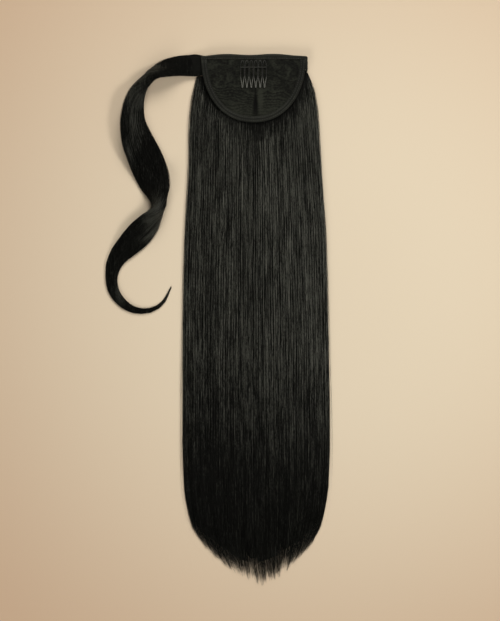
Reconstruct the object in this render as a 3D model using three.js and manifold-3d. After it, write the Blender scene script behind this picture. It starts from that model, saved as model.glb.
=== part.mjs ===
// A wrap-round ponytail hairpiece, lying on its outer side with the inner side of its pad up.
// Millimetres. +Z is up off the surface that it lies on, +X runs along the pad's straight edge,
// and +Y runs from the hair's tips towards that edge. The origin is on the surface, under the
// middle of the pad. The hair flows from under the pad towards -Y, and the lock that is wound
// round the wearer's own ponytail leaves the pad's left end towards -X.

import * as THREE from "three";
import { mergeVertices } from "three/addons/utils/BufferGeometryUtils.js";
import Module from "manifold-3d";

const wasm = await Module();
wasm.setup();

// Air between pieces that are sewn or laid together.
const clearance = 0.3;

// Pad: a half-round of net, with a tape along its straight edge and one round its curve.
const padWidth = 112;
const padDrop = 72.8;
const padRoundness = 2.2;
const padCrown = 1.6;
const netThickness = 1.2;
const bandWidth = 5.2;
const bandThickness = 1.1;
const bandTurnLength = 12.5;
const bandTurnWidth = 1.6;
const bindingWidth = 6.4;
const bindingThickness = 1;

// The straight edge isn't quite straight: it waves by this much, at this pitch, from this peak,
// and falls off towards its corners.
const edgeWave = 0.6;
const edgeWavePitch = 52;
const edgeWavePeak = -30;
const cornerFall = 1.5;

// Dart: a tuck sewn into the net, whose two lips stand up on either side of its seam.
const dartX = 2.7;
const dartStart = 37.6;
const dartLength = 27.5;
const dartLipWidth = 9;
const dartLeftLip = 1;
const dartRightLip = 2.2;

// Comb: hairpin teeth of steel wire on a spine, sewn to the net below the straight band.
const combTeeth = 6;
const combPitch = 4.7;
const combLength = 30;
const combTopGap = 0.9;
const combArch = 3;
const toothSpread = 3;
const wireDiameter = 0.9;
const spineDiameter = 1.3;
const spineShare = 0.74;

// Hair: rows of weft under the pad, and the locks that flow from them.
const hairLength = 560;
const hairHalfWidth = 77;
const hairDepth = 12;
const rootDepth = 5.6;
const weftTopInset = 4;
const weftSideInset = 9.5;
const middleRootDrop = 8.8;
const sideRootDrop = 15.9;
const rootSpread = 0.5;
const lockCount = 21;
const lockOverlap = 0.3;
const grooveDepth = 1.2;
const lockUnevenness = 0.08;
const sideDepthShare = 0.35;
const endDrop = 117;
const endTaper = 16;
const endInward = 0.2;
const endLean = 0.06;
const tipNotch = 7;
const tipDepth = 1.2;
const tipScatter = 4;

// Wrap lock: a ribbon of hair that twists as it lies.
const wrapReach = 95.4;
const wrapDrop = 261.7;
const wrapWidth = 34;
const wrapThickness = 10;
const wrapRootDrop = 11.2;
const wrapSteps = 54;
const wrapSides = 12;
const wrapFlutes = 3;
const wrapFluteDepth = 0.1;

// The hair's outline and depth. down is a share of the hair's length, left and right of its half
// width, and depth of its full depth.
const hairRows = [
  { down: 0.029, left: 0.76, right: 0.735, depth: 0.55 },
  { down: 0.04, left: 0.79, right: 0.785, depth: 0.6 },
  { down: 0.068, left: 0.822, right: 0.842, depth: 0.72 },
  { down: 0.087, left: 0.848, right: 0.862, depth: 0.8 },
  { down: 0.11, left: 0.868, right: 0.884, depth: 0.87 },
  { down: 0.145, left: 0.885, right: 0.9, depth: 0.94 },
  { down: 0.2, left: 0.886, right: 0.926, depth: 1 },
  { down: 0.258, left: 0.906, right: 0.956, depth: 1 },
  { down: 0.335, left: 0.94, right: 0.993, depth: 0.97 },
  { down: 0.42, left: 0.96, right: 1.014, depth: 0.93 },
  { down: 0.52, left: 0.97, right: 1.033, depth: 0.86 },
  { down: 0.64, left: 0.973, right: 1.043, depth: 0.76 },
  { down: 0.79, left: 0.976, right: 1.052, depth: 0.58 },
  { down: 1, left: 0.976, right: 1.052, depth: 0.2 },
];

// The line that the tips are cut to. out is a share of the half width, and down of endDrop.
const tipRows = [
  { out: 0, down: 1 },
  { out: 0.28, down: 0.93 },
  { out: 0.55, down: 0.84 },
  { out: 0.72, down: 0.75 },
  { out: 0.81, down: 0.67 },
  { out: 0.89, down: 0.585 },
  { out: 0.945, down: 0.44 },
  { out: 0.975, down: 0.28 },
  { out: 1, down: 0 },
];

// The wrap lock from its sewn root to its tip. out is a share of wrapReach from the pad's left
// end, drop of wrapDrop, width of wrapWidth and thick of wrapThickness. turn is its twist in
// degrees, and seat is 1 where it is held up against the pad and 0 where it lies free.
const wrapRows = [
  { out: -0.086, drop: 0, width: 0.58, thick: 0.34, turn: 0, seat: 1 },
  { out: 0, drop: 0, width: 0.62, thick: 0.36, turn: 0, seat: 1 },
  { out: 0.143, drop: 0.001, width: 0.68, thick: 0.42, turn: 8, seat: 0.7 },
  { out: 0.298, drop: 0.006, width: 0.7, thick: 0.56, turn: 26, seat: 0.2 },
  { out: 0.455, drop: 0.023, width: 0.73, thick: 0.74, turn: 52, seat: 0 },
  { out: 0.553, drop: 0.044, width: 0.64, thick: 1, turn: 71, seat: 0 },
  { out: 0.63, drop: 0.073, width: 0.54, thick: 1.18, turn: 92, seat: 0 },
  { out: 0.712, drop: 0.117, width: 0.66, thick: 1.02, turn: 125, seat: 0 },
  { out: 0.753, drop: 0.176, width: 0.76, thick: 0.9, turn: 141, seat: 0 },
  { out: 0.757, drop: 0.233, width: 0.85, thick: 0.8, turn: 149, seat: 0 },
  { out: 0.71, drop: 0.302, width: 1, thick: 0.68, turn: 159, seat: 0 },
  { out: 0.62, drop: 0.379, width: 1.06, thick: 0.6, turn: 170, seat: 0 },
  { out: 0.545, drop: 0.448, width: 1.02, thick: 0.66, turn: 184, seat: 0 },
  { out: 0.491, drop: 0.511, width: 0.88, thick: 0.94, turn: 208, seat: 0 },
  { out: 0.468, drop: 0.568, width: 0.58, thick: 1.38, turn: 246, seat: 0 },
  { out: 0.5, drop: 0.602, width: 0.64, thick: 1.3, turn: 285, seat: 0 },
  { out: 0.56, drop: 0.636, width: 0.78, thick: 1.06, turn: 316, seat: 0 },
  { out: 0.674, drop: 0.683, width: 0.85, thick: 0.8, turn: 333, seat: 0 },
  { out: 0.805, drop: 0.731, width: 0.73, thick: 0.66, turn: 345, seat: 0 },
  { out: 0.934, drop: 0.782, width: 0.52, thick: 0.5, turn: 356, seat: 0 },
  { out: 0.998, drop: 0.84, width: 0.36, thick: 0.42, turn: 360, seat: 0 },
  { out: 0.996, drop: 0.898, width: 0.32, thick: 0.38, turn: 360, seat: 0 },
  { out: 0.936, drop: 0.945, width: 0.29, thick: 0.34, turn: 360, seat: 0 },
  { out: 0.815, drop: 0.986, width: 0.24, thick: 0.28, turn: 360, seat: 0 },
  { out: 0.67, drop: 1.001, width: 0.19, thick: 0.22, turn: 360, seat: 0 },
  { out: 0.532, drop: 0.993, width: 0.14, thick: 0.18, turn: 360, seat: 0 },
  { out: 0.415, drop: 0.962, width: 0.09, thick: 0.14, turn: 360, seat: 0 },
  { out: 0.332, drop: 0.9, width: 0.03, thick: 0.1, turn: 360, seat: 0 },
];

// One leg of a comb tooth, from the tip up to the spine. up is a share of combLength, spread of
// half the tooth's spread, and lift of combArch.
const toothLeg = [
  { up: 0.02, spread: 0.3, lift: 0.1 },
  { up: 0.14, spread: 0.5, lift: 0.42 },
  { up: 0.38, spread: 1, lift: 1 },
  { up: 0.54, spread: 0.72, lift: 0.9 },
  { up: 0.66, spread: 0.95, lift: 0.4 },
];

// The loop that each tooth's wire makes over the spine.
const toothLoop = [
  { up: 0.84, spread: 0.8 },
  { up: 0.97, spread: 0.34 },
];

const padHalf = padWidth / 2;
const padTop = padDrop / 2;
const bandInner = padTop - bandWidth;
const netInset = bindingThickness + clearance;
const wireRadius = wireDiameter / 2;

const smooth = (t) => t * t * (3 - 2 * t);
const clamp = THREE.MathUtils.clamp;
const lerp = THREE.MathUtils.lerp;

// A fixed unevenness between 0 and 1 for the nth of a row of like things.
const uneven = (n) => THREE.MathUtils.euclideanModulo(Math.sin(n * 12.9898 + 4.1) * 43758.5453, 1);

// A three.js geometry as a closed solid, and back.
function solidOf(geometry) {
  const bare = geometry.clone();
  bare.deleteAttribute("normal");
  bare.deleteAttribute("uv");
  const merged = mergeVertices(bare, 1e-4);
  return new wasm.Manifold(
    new wasm.Mesh({
      numProp: 3,
      vertProperties: merged.attributes.position.array,
      triVerts: new Uint32Array(merged.index.array),
    }),
  );
}

function geometryOf(solid) {
  const mesh = solid.getMesh();
  const made = new THREE.BufferGeometry();
  made.setAttribute("position", new THREE.BufferAttribute(mesh.vertProperties, 3));
  made.setIndex(new THREE.BufferAttribute(mesh.triVerts, 1));
  made.computeVertexNormals();
  return made;
}

const joined = (geometries) =>
  geometries.map(solidOf).reduce((whole, piece) => whole.add(piece));

// A closed skin over rings of points that run round the same section, one after the other.
function loft(rings, section) {
  const sides = section.length;
  const last = (rings.length - 1) * sides;
  const faces = [];
  for (let ring = 0; ring < rings.length - 1; ring++) {
    for (let side = 0; side < sides; side++) {
      const next = (side + 1) % sides;
      const [a, b] = [ring * sides + side, ring * sides + next];
      faces.push(a, b, b + sides, a, b + sides, a + sides);
    }
  }
  for (const [a, b, c] of THREE.ShapeUtils.triangulateShape(section, [])) {
    faces.push(c, b, a, last + a, last + b, last + c);
  }
  const points = rings.flat();
  const volume = (i) => points[faces[i]].dot(points[faces[i + 1]].clone().cross(points[faces[i + 2]]));
  let total = 0;
  for (let i = 0; i < faces.length; i += 3) total += volume(i);
  if (total < 0) faces.reverse();
  return new THREE.BufferGeometry().setFromPoints(points).setIndex(faces);
}

// How far the pad has risen at y, from 0 along its straight band to 1 at the foot of its curve.
const padShare = (y) => clamp((bandInner - y) / (padDrop - bandWidth), 0, 1);

// A table's row at a value in one of its columns, interpolated between the rows beside it.
function rowAt(rows, column, value) {
  const held = clamp(value, rows[0][column], rows.at(-1)[column]);
  const next = Math.max(1, rows.findIndex((row) => row[column] >= held));
  const [a, b] = [rows[next - 1], rows[next]];
  const share = (held - a[column]) / (b[column] - a[column]);
  return Object.fromEntries(Object.keys(a).map((key) => [key, lerp(a[key], b[key], share)]));
}

// The hair's sides and depth at a distance down from the straight edge.
function hairAt(distance) {
  const row = rowAt(hairRows, "down", distance / hairLength);
  return {
    left: -hairHalfWidth * row.left,
    right: hairHalfWidth * row.right,
    depth: hairDepth * row.depth,
  };
}

// The hair's depth in the middle. Under the pad it grows from its sewn root as the pad rises.
const padSeat = hairAt(padDrop).depth;
function hairDepthAt(distance) {
  if (distance > padDrop) return hairAt(distance).depth;
  return lerp(rootDepth, padSeat, smooth(padShare(padTop - distance)));
}

// The net's underside: it lies on the hair, with a low crown in the middle.
function netUnderside(x, y) {
  const share = padShare(y);
  const crown = Math.sin(Math.PI * share) * Math.max(0, 1 - (x / padHalf) ** 2);
  return clearance + lerp(rootDepth, padSeat, smooth(share)) + padCrown * crown;
}

// How far the dart's lips lift the net. The seam between them stays down.
function dartLift(x, y) {
  const down = (padTop - dartStart - y) / dartLength;
  const across = Math.abs(x - dartX) / dartLipWidth;
  if (down <= 0 || down >= 1 || across >= 1) return 0;
  const lip = (x < dartX ? dartLeftLip : dartRightLip) * (1 - across);
  return lip * Math.sin(Math.PI * Math.sqrt(across)) * Math.sin(Math.PI * Math.sqrt(down));
}

const netTop = (x, y) => netUnderside(x, y) + netThickness + dartLift(x, y);

const edgeY = (x) =>
  padTop +
  edgeWave * Math.cos((2 * Math.PI * (x - edgeWavePeak)) / edgeWavePitch) -
  cornerFall * Math.min(1, Math.abs(x) / padHalf) ** 4;

// The pad's curve from its left end to its right end, drawn in by an inset.
function padCurve(inset, steps, top = padTop) {
  const start = Math.asin(((padTop - top) / (padDrop - inset)) ** (padRoundness / 2));
  const points = [];
  for (let i = 0; i <= steps; i++) {
    const angle = lerp(start, Math.PI - start, i / steps);
    const across = Math.cos(angle);
    const x = -(padHalf - inset) * Math.sign(across) * Math.abs(across) ** (2 / padRoundness);
    const y = padTop - (padDrop - inset) * Math.sin(angle) ** (2 / padRoundness);
    points.push(new THREE.Vector2(x, y));
  }
  return points;
}

// An upright prism on an outline in plan, for cutting a sheet to shape.
const prism = (outline, bottom, top) =>
  new THREE.ExtrudeGeometry(new THREE.Shape(outline), { depth: top - bottom, bevelEnabled: false })
    .translate(0, 0, bottom);

// Net: a sheet laid over the hair and cut to the pad's outline, inside the tapes.
function padNet() {
  const columns = [dartX];
  for (const share of [0.03, 0.25, 0.6, 1]) {
    columns.push(dartX - share * dartLipWidth, dartX + share * dartLipWidth);
  }
  const rows = [0.001, 0.1, 0.4, 0.999].map((share) => padTop - dartStart - share * dartLength);
  const columnCount = 15;
  const rowCount = 13;
  const room = 2;
  const margin = 0.5;
  for (let i = 0; i <= columnCount; i++) {
    const x = lerp(-padHalf - margin, padHalf + margin, i / columnCount);
    if (columns.every((other) => Math.abs(other - x) > room)) columns.push(x);
  }
  for (let i = 0; i <= rowCount; i++) {
    const y = lerp(-padTop - margin, padTop + edgeWave + margin, i / rowCount);
    if (rows.every((other) => Math.abs(other - y) > room)) rows.push(y);
  }
  rows.push(bandInner);
  columns.sort((a, b) => a - b);
  rows.sort((a, b) => a - b);
  const rings = rows.map((y) => [
    ...columns.map((x) => new THREE.Vector3(x, y, netUnderside(x, y) + dartLift(x, y))),
    ...columns.toReversed().map((x) => new THREE.Vector3(x, y, netTop(x, y))),
  ]);
  const section = rings[0].map((point) => new THREE.Vector2(point.x, point.z));
  const curve = padCurve(netInset, 44);
  const edge = [];
  const edgeSteps = 16;
  for (let i = 1; i < edgeSteps; i++) {
    const x = lerp(padHalf - netInset, netInset - padHalf, i / edgeSteps);
    edge.push(new THREE.Vector2(x, edgeY(x) - bandThickness - clearance));
  }
  const corner = (end) => new THREE.Vector2(end.x, edgeY(end.x) - bandThickness - clearance);
  const outline = [corner(curve[0]), ...curve.slice(1, -1), corner(curve.at(-1)), ...edge];
  const cutter = prism(outline, 0, 2 * hairDepth + netThickness);
  return geometryOf(solidOf(loft(rings, section)).intersect(solidOf(cutter)));
}

// The section of a tape that lies on the net and turns down over its edge. across is measured
// outwards from the pad's outline, and up from the net's underside.
function tapeSection(width, thickness) {
  const top = netThickness + clearance + thickness;
  return [
    { across: 0, up: 0 },
    { across: 0, up: top },
    { across: -width, up: top },
    { across: -width, up: top - thickness },
    { across: -thickness, up: top - thickness },
    { across: -thickness, up: 0 },
  ];
}

const flatSection = (section) => section.map((p) => new THREE.Vector2(p.across, p.up));

// Band: the tape along the straight edge. Its inner edge is straight, its outer edge waves with
// the pad, and its right-hand end turns down the pad's side.
function straightBand() {
  const section = tapeSection(bandWidth, bandThickness);
  const rightEnd = padHalf + clearance + bandTurnWidth;
  const level = netUnderside(0, padTop);
  const steps = 22;
  const rings = [];
  for (let i = 0; i <= steps; i++) {
    const x = lerp(-padHalf, rightEnd, i / steps);
    rings.push(
      section.map(({ across, up }) => {
        const y = across === -bandWidth ? bandInner : edgeY(x) + across;
        return new THREE.Vector3(x, y, level + up);
      }),
    );
  }
  const height = netThickness + clearance + bandThickness;
  const turn = new THREE.BoxGeometry(bandTurnWidth, bandTurnLength, height).translate(
    rightEnd - bandTurnWidth / 2,
    edgeY(rightEnd) - bandThickness / 2 - bandTurnLength / 2,
    level + height / 2,
  );
  return geometryOf(joined([loft(rings, flatSection(section)), turn]));
}

// Binding: the same kind of tape round the curve, from one end of the band to the other.
function curveBinding() {
  const section = tapeSection(bindingWidth, bindingThickness);
  const curve = padCurve(0, 40, bandInner - clearance);
  const rings = curve.map((point, i) => {
    const along = (curve[i + 1] ?? point).clone().sub(curve[i - 1] ?? point).normalize();
    const outwards = new THREE.Vector2(along.y, -along.x);
    if (i === 0 || i === curve.length - 1) outwards.set(Math.sign(point.x), 0);
    return section.map(({ across, up }) => {
      const { x, y } = point.clone().addScaledVector(outwards, across);
      return new THREE.Vector3(x, y, netUnderside(x, y) + up);
    });
  });
  return loft(rings, flatSection(section));
}

// Comb: each tooth is a hairpin of wire that rises off the net, and loops over the spine.
function comb() {
  const tipY = bandInner - combTopGap - combLength;
  const spineY = tipY + spineShare * combLength;
  const spineZ = netTop(0, spineY) + clearance + spineDiameter / 2;
  const wire = new THREE.Shape().absarc(0, 0, wireRadius, 0, 2 * Math.PI);
  const swept = (points, steps) =>
    new THREE.ExtrudeGeometry(wire, {
      extrudePath: new THREE.CatmullRomCurve3(points),
      steps,
      curveSegments: 3,
    });
  const onNet = (x, up, lift = 0) => {
    const y = tipY + up * combLength;
    return new THREE.Vector3(x, y, netTop(x, y) + clearance + wireRadius + lift * combArch);
  };
  const halfSpread = toothSpread / 2;
  const pieces = [];
  for (let tooth = 0; tooth < combTeeth; tooth++) {
    const x = (tooth - (combTeeth - 1) / 2) * combPitch;
    const legEnd = (side) => new THREE.Vector3(x + side * halfSpread * 0.9, spineY, spineZ);
    const leg = (side) =>
      toothLeg.map(({ up, spread, lift }) => onNet(x + side * spread * halfSpread, up, lift));
    const loop = (side) =>
      toothLoop.map(({ up, spread }) => onNet(x + side * spread * halfSpread, up));
    const tip = onNet(x, wireRadius / combLength);
    const crest = onNet(x, 1 - wireRadius / combLength);
    pieces.push(
      swept([legEnd(-1), ...leg(-1).reverse(), tip, ...leg(1), legEnd(1)], 16),
      swept([legEnd(-1), ...loop(-1), crest, ...loop(1).reverse(), legEnd(1)], 7),
    );
  }
  const spineLength = (combTeeth - 1) * combPitch + toothSpread + wireDiameter;
  const spine = new THREE.CylinderGeometry(spineDiameter / 2, spineDiameter / 2, spineLength, 8)
    .rotateZ(Math.PI / 2)
    .translate(0, spineY, spineZ);
  return geometryOf(joined([spine, ...pieces]));
}

// How much of the hair's depth is left at a share of the way out to its side.
const sideDepth = (out) => 1 - (1 - sideDepthShare) * Math.abs(out) ** 4;

// How far down the tips are cut at a share of the way out, as a share of endDrop.
const tipLine = (out) => rowAt(tipRows, "out", Math.abs(out - endLean * (1 - out ** 2))).down;

// Where a lock's middle or edge runs at a distance down. Past its straight part it leans inwards.
function rowOfPoint(out, across, distance) {
  const { left, right } = hairAt(distance);
  const middle = (left + right) / 2;
  const half = (right - left) / 2;
  const width = (2 * half * (1 + lockOverlap)) / lockCount;
  const past = clamp((distance - hairLength + endDrop) / endDrop, 0, 1);
  const offset = out * (half - width / 2) + across * width;
  return { x: middle + offset * (1 - endInward * past ** 2), share: offset / half };
}

// A lock's section: flat below, and crested above.
const lockSection = [
  { across: -0.5, up: 0 },
  { across: 0, up: 0 },
  { across: 0.5, up: 0 },
  { across: 0.5, up: 1 },
  { across: 0, up: 1, crest: true },
  { across: -0.5, up: 1 },
];

// The line that the locks start on: high in the middle, lower at the sides, and on the left below
// the wrap lock's root.
const wrapRootY = padTop - wrapRootDrop;
const wrapRootEdge = wrapRootY - (wrapRows[2].width * wrapWidth) / 2;
function rootDrop(out) {
  const side = out < 0 ? padTop - wrapRootEdge + clearance : sideRootDrop;
  const share = clamp((Math.abs(out) - rootSpread) / (0.8 - rootSpread), 0, 1);
  return lerp(middleRootDrop, side, share);
}

// One lock of the fall, from its root under the pad to its tip, lying flat on the surface.
function hairLock(index) {
  const out = (2 * index) / (lockCount - 1) - 1;
  const root = rootDrop(out);
  const tipStart = hairLength - endDrop - endTaper;
  const room = 6;
  const stops = [{ down: root, end: 0 }];
  for (const row of hairRows) {
    const down = row.down * hairLength;
    if (down > root + room && down < tipStart - room) stops.push({ down, end: 0 });
  }
  for (const end of [0, 0.35, 0.7, 1]) stops.push({ down: tipStart, end });
  const evenness = 1 - lockUnevenness * uneven(index + lockCount);
  const scatter = tipScatter * uneven(index);
  const rings = stops.map(({ down, end }) =>
    lockSection.map(({ across, up, crest }) => {
      const middle = rowOfPoint(out, across, down);
      const corner = Math.abs(across) * 2;
      const reach = endTaper + endDrop * tipLine(middle.share) - scatter - tipNotch * corner * end;
      const distance = down + end * Math.max(reach, 2);
      const place = rowOfPoint(out, across, distance);
      const full = hairDepthAt(distance) * sideDepth(out) * evenness;
      const depth = lerp(full, tipDepth, end ** 2);
      const groove = crest ? 0 : Math.min(grooveDepth, depth / 3);
      return new THREE.Vector3(place.x, padTop - distance, up * (depth - groove));
    }),
  );
  return loft(rings, flatSection(lockSection));
}

// Fall: the locks, fused to the stack of wefts that is sewn under the pad.
function hairFall() {
  const outline = padCurve(weftSideInset, 20, padTop - weftTopInset);
  const wefts = prism(outline, 0, rootDepth);
  const locks = Array.from({ length: lockCount }, (_, index) => hairLock(index));
  return geometryOf(joined([wefts, ...locks]));
}

// Wrap lock: a fluted ribbon swept along its route, which rests on the surface all the way.
function wrapLock() {
  const route = new THREE.CatmullRomCurve3(
    wrapRows.map(({ out, drop, seat }) => new THREE.Vector3(out, drop, seat)),
  );
  const form = new THREE.CatmullRomCurve3(
    wrapRows.map(({ width, thick, turn }) => new THREE.Vector3(width, thick, turn)),
  );
  const place = (t) => {
    const { x, y } = route.getPoint(t);
    return new THREE.Vector2(-padHalf - x * wrapReach, wrapRootY - y * wrapDrop);
  };
  const section = Array.from({ length: wrapSides }, (_, i) => {
    const angle = (2 * Math.PI * i) / wrapSides;
    const flute = 1 - wrapFluteDepth * (1 - Math.cos(2 * wrapFlutes * angle)) * 0.5;
    return { across: Math.cos(angle), up: Math.sin(angle) * flute };
  });
  const rings = [];
  for (let i = 0; i <= wrapSteps; i++) {
    const t = i / wrapSteps;
    const shape = form.getPoint(t);
    const halfWidth = (shape.x * wrapWidth) / 2;
    const halfThick = (shape.y * wrapThickness) / 2;
    const turn = THREE.MathUtils.degToRad(shape.z);
    const seat = clamp(route.getPoint(t).z, 0, 1);
    const nudge = 0.2 / wrapSteps;
    const along = place(Math.min(t + nudge, 1)).sub(place(Math.max(t - nudge, 0))).normalize();
    const side = new THREE.Vector3(-along.y, along.x, 0);
    const up = new THREE.Vector3(0, 0, 1);
    const wide = side.clone().multiplyScalar(Math.cos(turn)).addScaledVector(up, Math.sin(turn));
    const thick = up.clone().multiplyScalar(Math.cos(turn)).addScaledVector(side, -Math.sin(turn));
    const ring = section.map((point) =>
      new THREE.Vector3(place(t).x, place(t).y, 0)
        .addScaledVector(wide, point.across * halfWidth)
        .addScaledVector(thick, point.up * halfThick),
    );
    const low = Math.min(...ring.map((point) => point.z));
    const high = Math.max(...ring.map((point) => point.z));
    const level = seat * Math.max(0, rootDepth - (high - low)) - low;
    rings.push(ring.map((point) => point.add(new THREE.Vector3(0, 0, level))));
  }
  return loft(rings, flatSection(section));
}

const finish = (color, roughness, metalness = 0) =>
  new THREE.MeshStandardMaterial({ color, roughness, metalness });
const hair = finish(0x16170f, 0.45);
const netting = finish(0x1f201b, 0.85);
const tape = finish(0x292b23, 0.8);
const steel = finish(0x2b2b2b, 0.35, 0.8);

const hairpiece = new THREE.Group();
for (const [name, geometry, material] of [
  ["pad_net", padNet(), netting],
  ["straight_band", straightBand(), tape],
  ["curve_binding", curveBinding(), tape],
  ["comb", comb(), steel],
  ["hair_fall", hairFall(), hair],
  ["wrap_lock", wrapLock(), hair],
]) {
  const piece = new THREE.Mesh(geometry, material);
  piece.name = name;
  hairpiece.add(piece);
}

export default hairpiece;
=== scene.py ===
"""The looks of a wrap-round ponytail hairpiece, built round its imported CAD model.

The fall and the wrap lock are cores of hair under thousands of strands. The pad is a net wall
with a dart, edged with sewn tapes, and the comb is bent wire on a wound spine.
Shapes are worked out in millimetres, with X to the right, Y up the picture and Z off the surface
that the hairpiece lies on. The meshes are made in metres.
"""

import math

import bpy
import numpy as np
from bpy.props import FloatProperty
from bpy.props import FloatVectorProperty
from bpy.props import IntProperty
from bpy.props import PointerProperty
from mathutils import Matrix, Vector


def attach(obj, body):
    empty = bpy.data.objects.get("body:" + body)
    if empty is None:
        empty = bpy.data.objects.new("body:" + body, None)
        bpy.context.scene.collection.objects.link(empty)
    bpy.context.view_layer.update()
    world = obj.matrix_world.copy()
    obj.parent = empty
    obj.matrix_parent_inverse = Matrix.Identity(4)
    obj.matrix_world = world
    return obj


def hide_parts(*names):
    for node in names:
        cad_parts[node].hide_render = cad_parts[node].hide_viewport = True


bl_info = {
    "name": "Ponytail hairpiece",
    "version": (1, 0, 0),
    "blender": (4, 5, 0),
    "location": "View3D > Sidebar > Hairpiece",
    "description": "Builds the strands, net pad, tapes and wire comb of a wrap-round ponytail",
    "category": "Object",
}

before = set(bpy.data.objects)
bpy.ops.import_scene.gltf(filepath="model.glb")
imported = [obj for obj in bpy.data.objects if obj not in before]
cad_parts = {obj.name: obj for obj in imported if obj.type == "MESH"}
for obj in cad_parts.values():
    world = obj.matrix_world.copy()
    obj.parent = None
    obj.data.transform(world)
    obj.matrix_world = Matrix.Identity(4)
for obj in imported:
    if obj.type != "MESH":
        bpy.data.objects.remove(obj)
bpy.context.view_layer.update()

MM = 0.001

# The pad, as in the CAD model.
PAD_WIDTH = 112.0
PAD_DROP = 72.8
PAD_HALF = PAD_WIDTH / 2
PAD_TOP = PAD_DROP / 2
PAD_ROUNDNESS = 2.2
PAD_CROWN = 1.6
NET_THICKNESS = 1.2
CLEARANCE = 0.3
BAND_WIDTH = 5.2
BAND_THICKNESS = 1.1
BAND_TURN_WIDTH = 1.6
BAND_TURN_LENGTH = 12.5
BAND_INNER = PAD_TOP - BAND_WIDTH
BINDING_WIDTH = 6.4
BINDING_THICKNESS = 1.0
EDGE_WAVE = 0.6
EDGE_WAVE_PITCH = 52.0
EDGE_WAVE_PEAK = -30.0
CORNER_FALL = 1.5
DART_X = 2.7
DART_START = 37.6
DART_LENGTH = 27.5
DART_LIP_WIDTH = 9.0
DART_LIPS = (1.0, 2.2)

# The comb, as in the CAD model.
COMB_TEETH = 6
COMB_PITCH = 4.7
COMB_LENGTH = 30.0
COMB_TOP_GAP = 0.9
COMB_ARCH = 3.0
TOOTH_SPREAD = 3.8
WIRE_RADIUS = 0.38
SPINE_RADIUS = 0.65
SPINE_SHARE = 0.74

# The fall, as in the CAD model.
FALL_LENGTH = 560.0
FALL_HALF_WIDTH = 77.0
FALL_DEPTH = 12.0
ROOT_DEPTH = 5.6
MIDDLE_ROOT_DROP = 8.8
SIDE_ROOT_DROP = 15.9
ROOT_SPREAD = 0.5
SIDE_DEPTH_SHARE = 0.35
EVENNESS = 0.96
THINNING_START = 427.0
WEFT_SIDE_INSET = 9.5
WEFT_TOP_INSET = 4.0

# The tips: how far they shift sideways, how strongly they lean in, how far the longest pass the
# outline, and their depth.
TIP_SHIFT = 5.3
TIP_LEAN = 0.84
TIP_PAST = 10.0
TIP_DEPTH = 1.2

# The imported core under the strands: its share of their length, what it loses at its sides, and
# how raggedly it ends.
CORE_LENGTH = 0.945
CORE_SIDE_LOSS = 0.03
CORE_RAGGEDNESS = 0.007

# Each row of the fall's sides has a distance down as a share of its length, then left, right and
# depth as shares of its half width and its depth.
FALL_ROWS = (
    (0.029, 0.76, 0.735, 0.55),
    (0.04, 0.79, 0.785, 0.6),
    (0.068, 0.822, 0.842, 0.72),
    (0.087, 0.848, 0.862, 0.8),
    (0.11, 0.868, 0.884, 0.87),
    (0.145, 0.885, 0.9, 0.94),
    (0.2, 0.886, 0.926, 1.0),
    (0.258, 0.906, 0.956, 1.0),
    (0.335, 0.94, 0.993, 0.97),
    (0.42, 0.96, 1.014, 0.93),
    (0.52, 0.97, 1.033, 0.86),
    (0.64, 0.973, 1.043, 0.76),
    (0.79, 0.976, 1.052, 0.58),
    (1.0, 0.976, 1.052, 0.2),
)

# How the fall narrows to its tips: a distance below the straight edge, and the share of its half
# width that is left there.
END_ROWS = (
    (420.0, 1.0),
    (442.0, 0.986),
    (463.0, 0.973),
    (474.0, 0.952),
    (484.5, 0.918),
    (495.0, 0.884),
    (506.0, 0.837),
    (516.5, 0.735),
    (527.0, 0.64),
    (537.5, 0.476),
    (543.0, 0.34),
    (548.5, 0.23),
    (553.5, 0.116),
    (560.0, 0.0),
)

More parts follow.
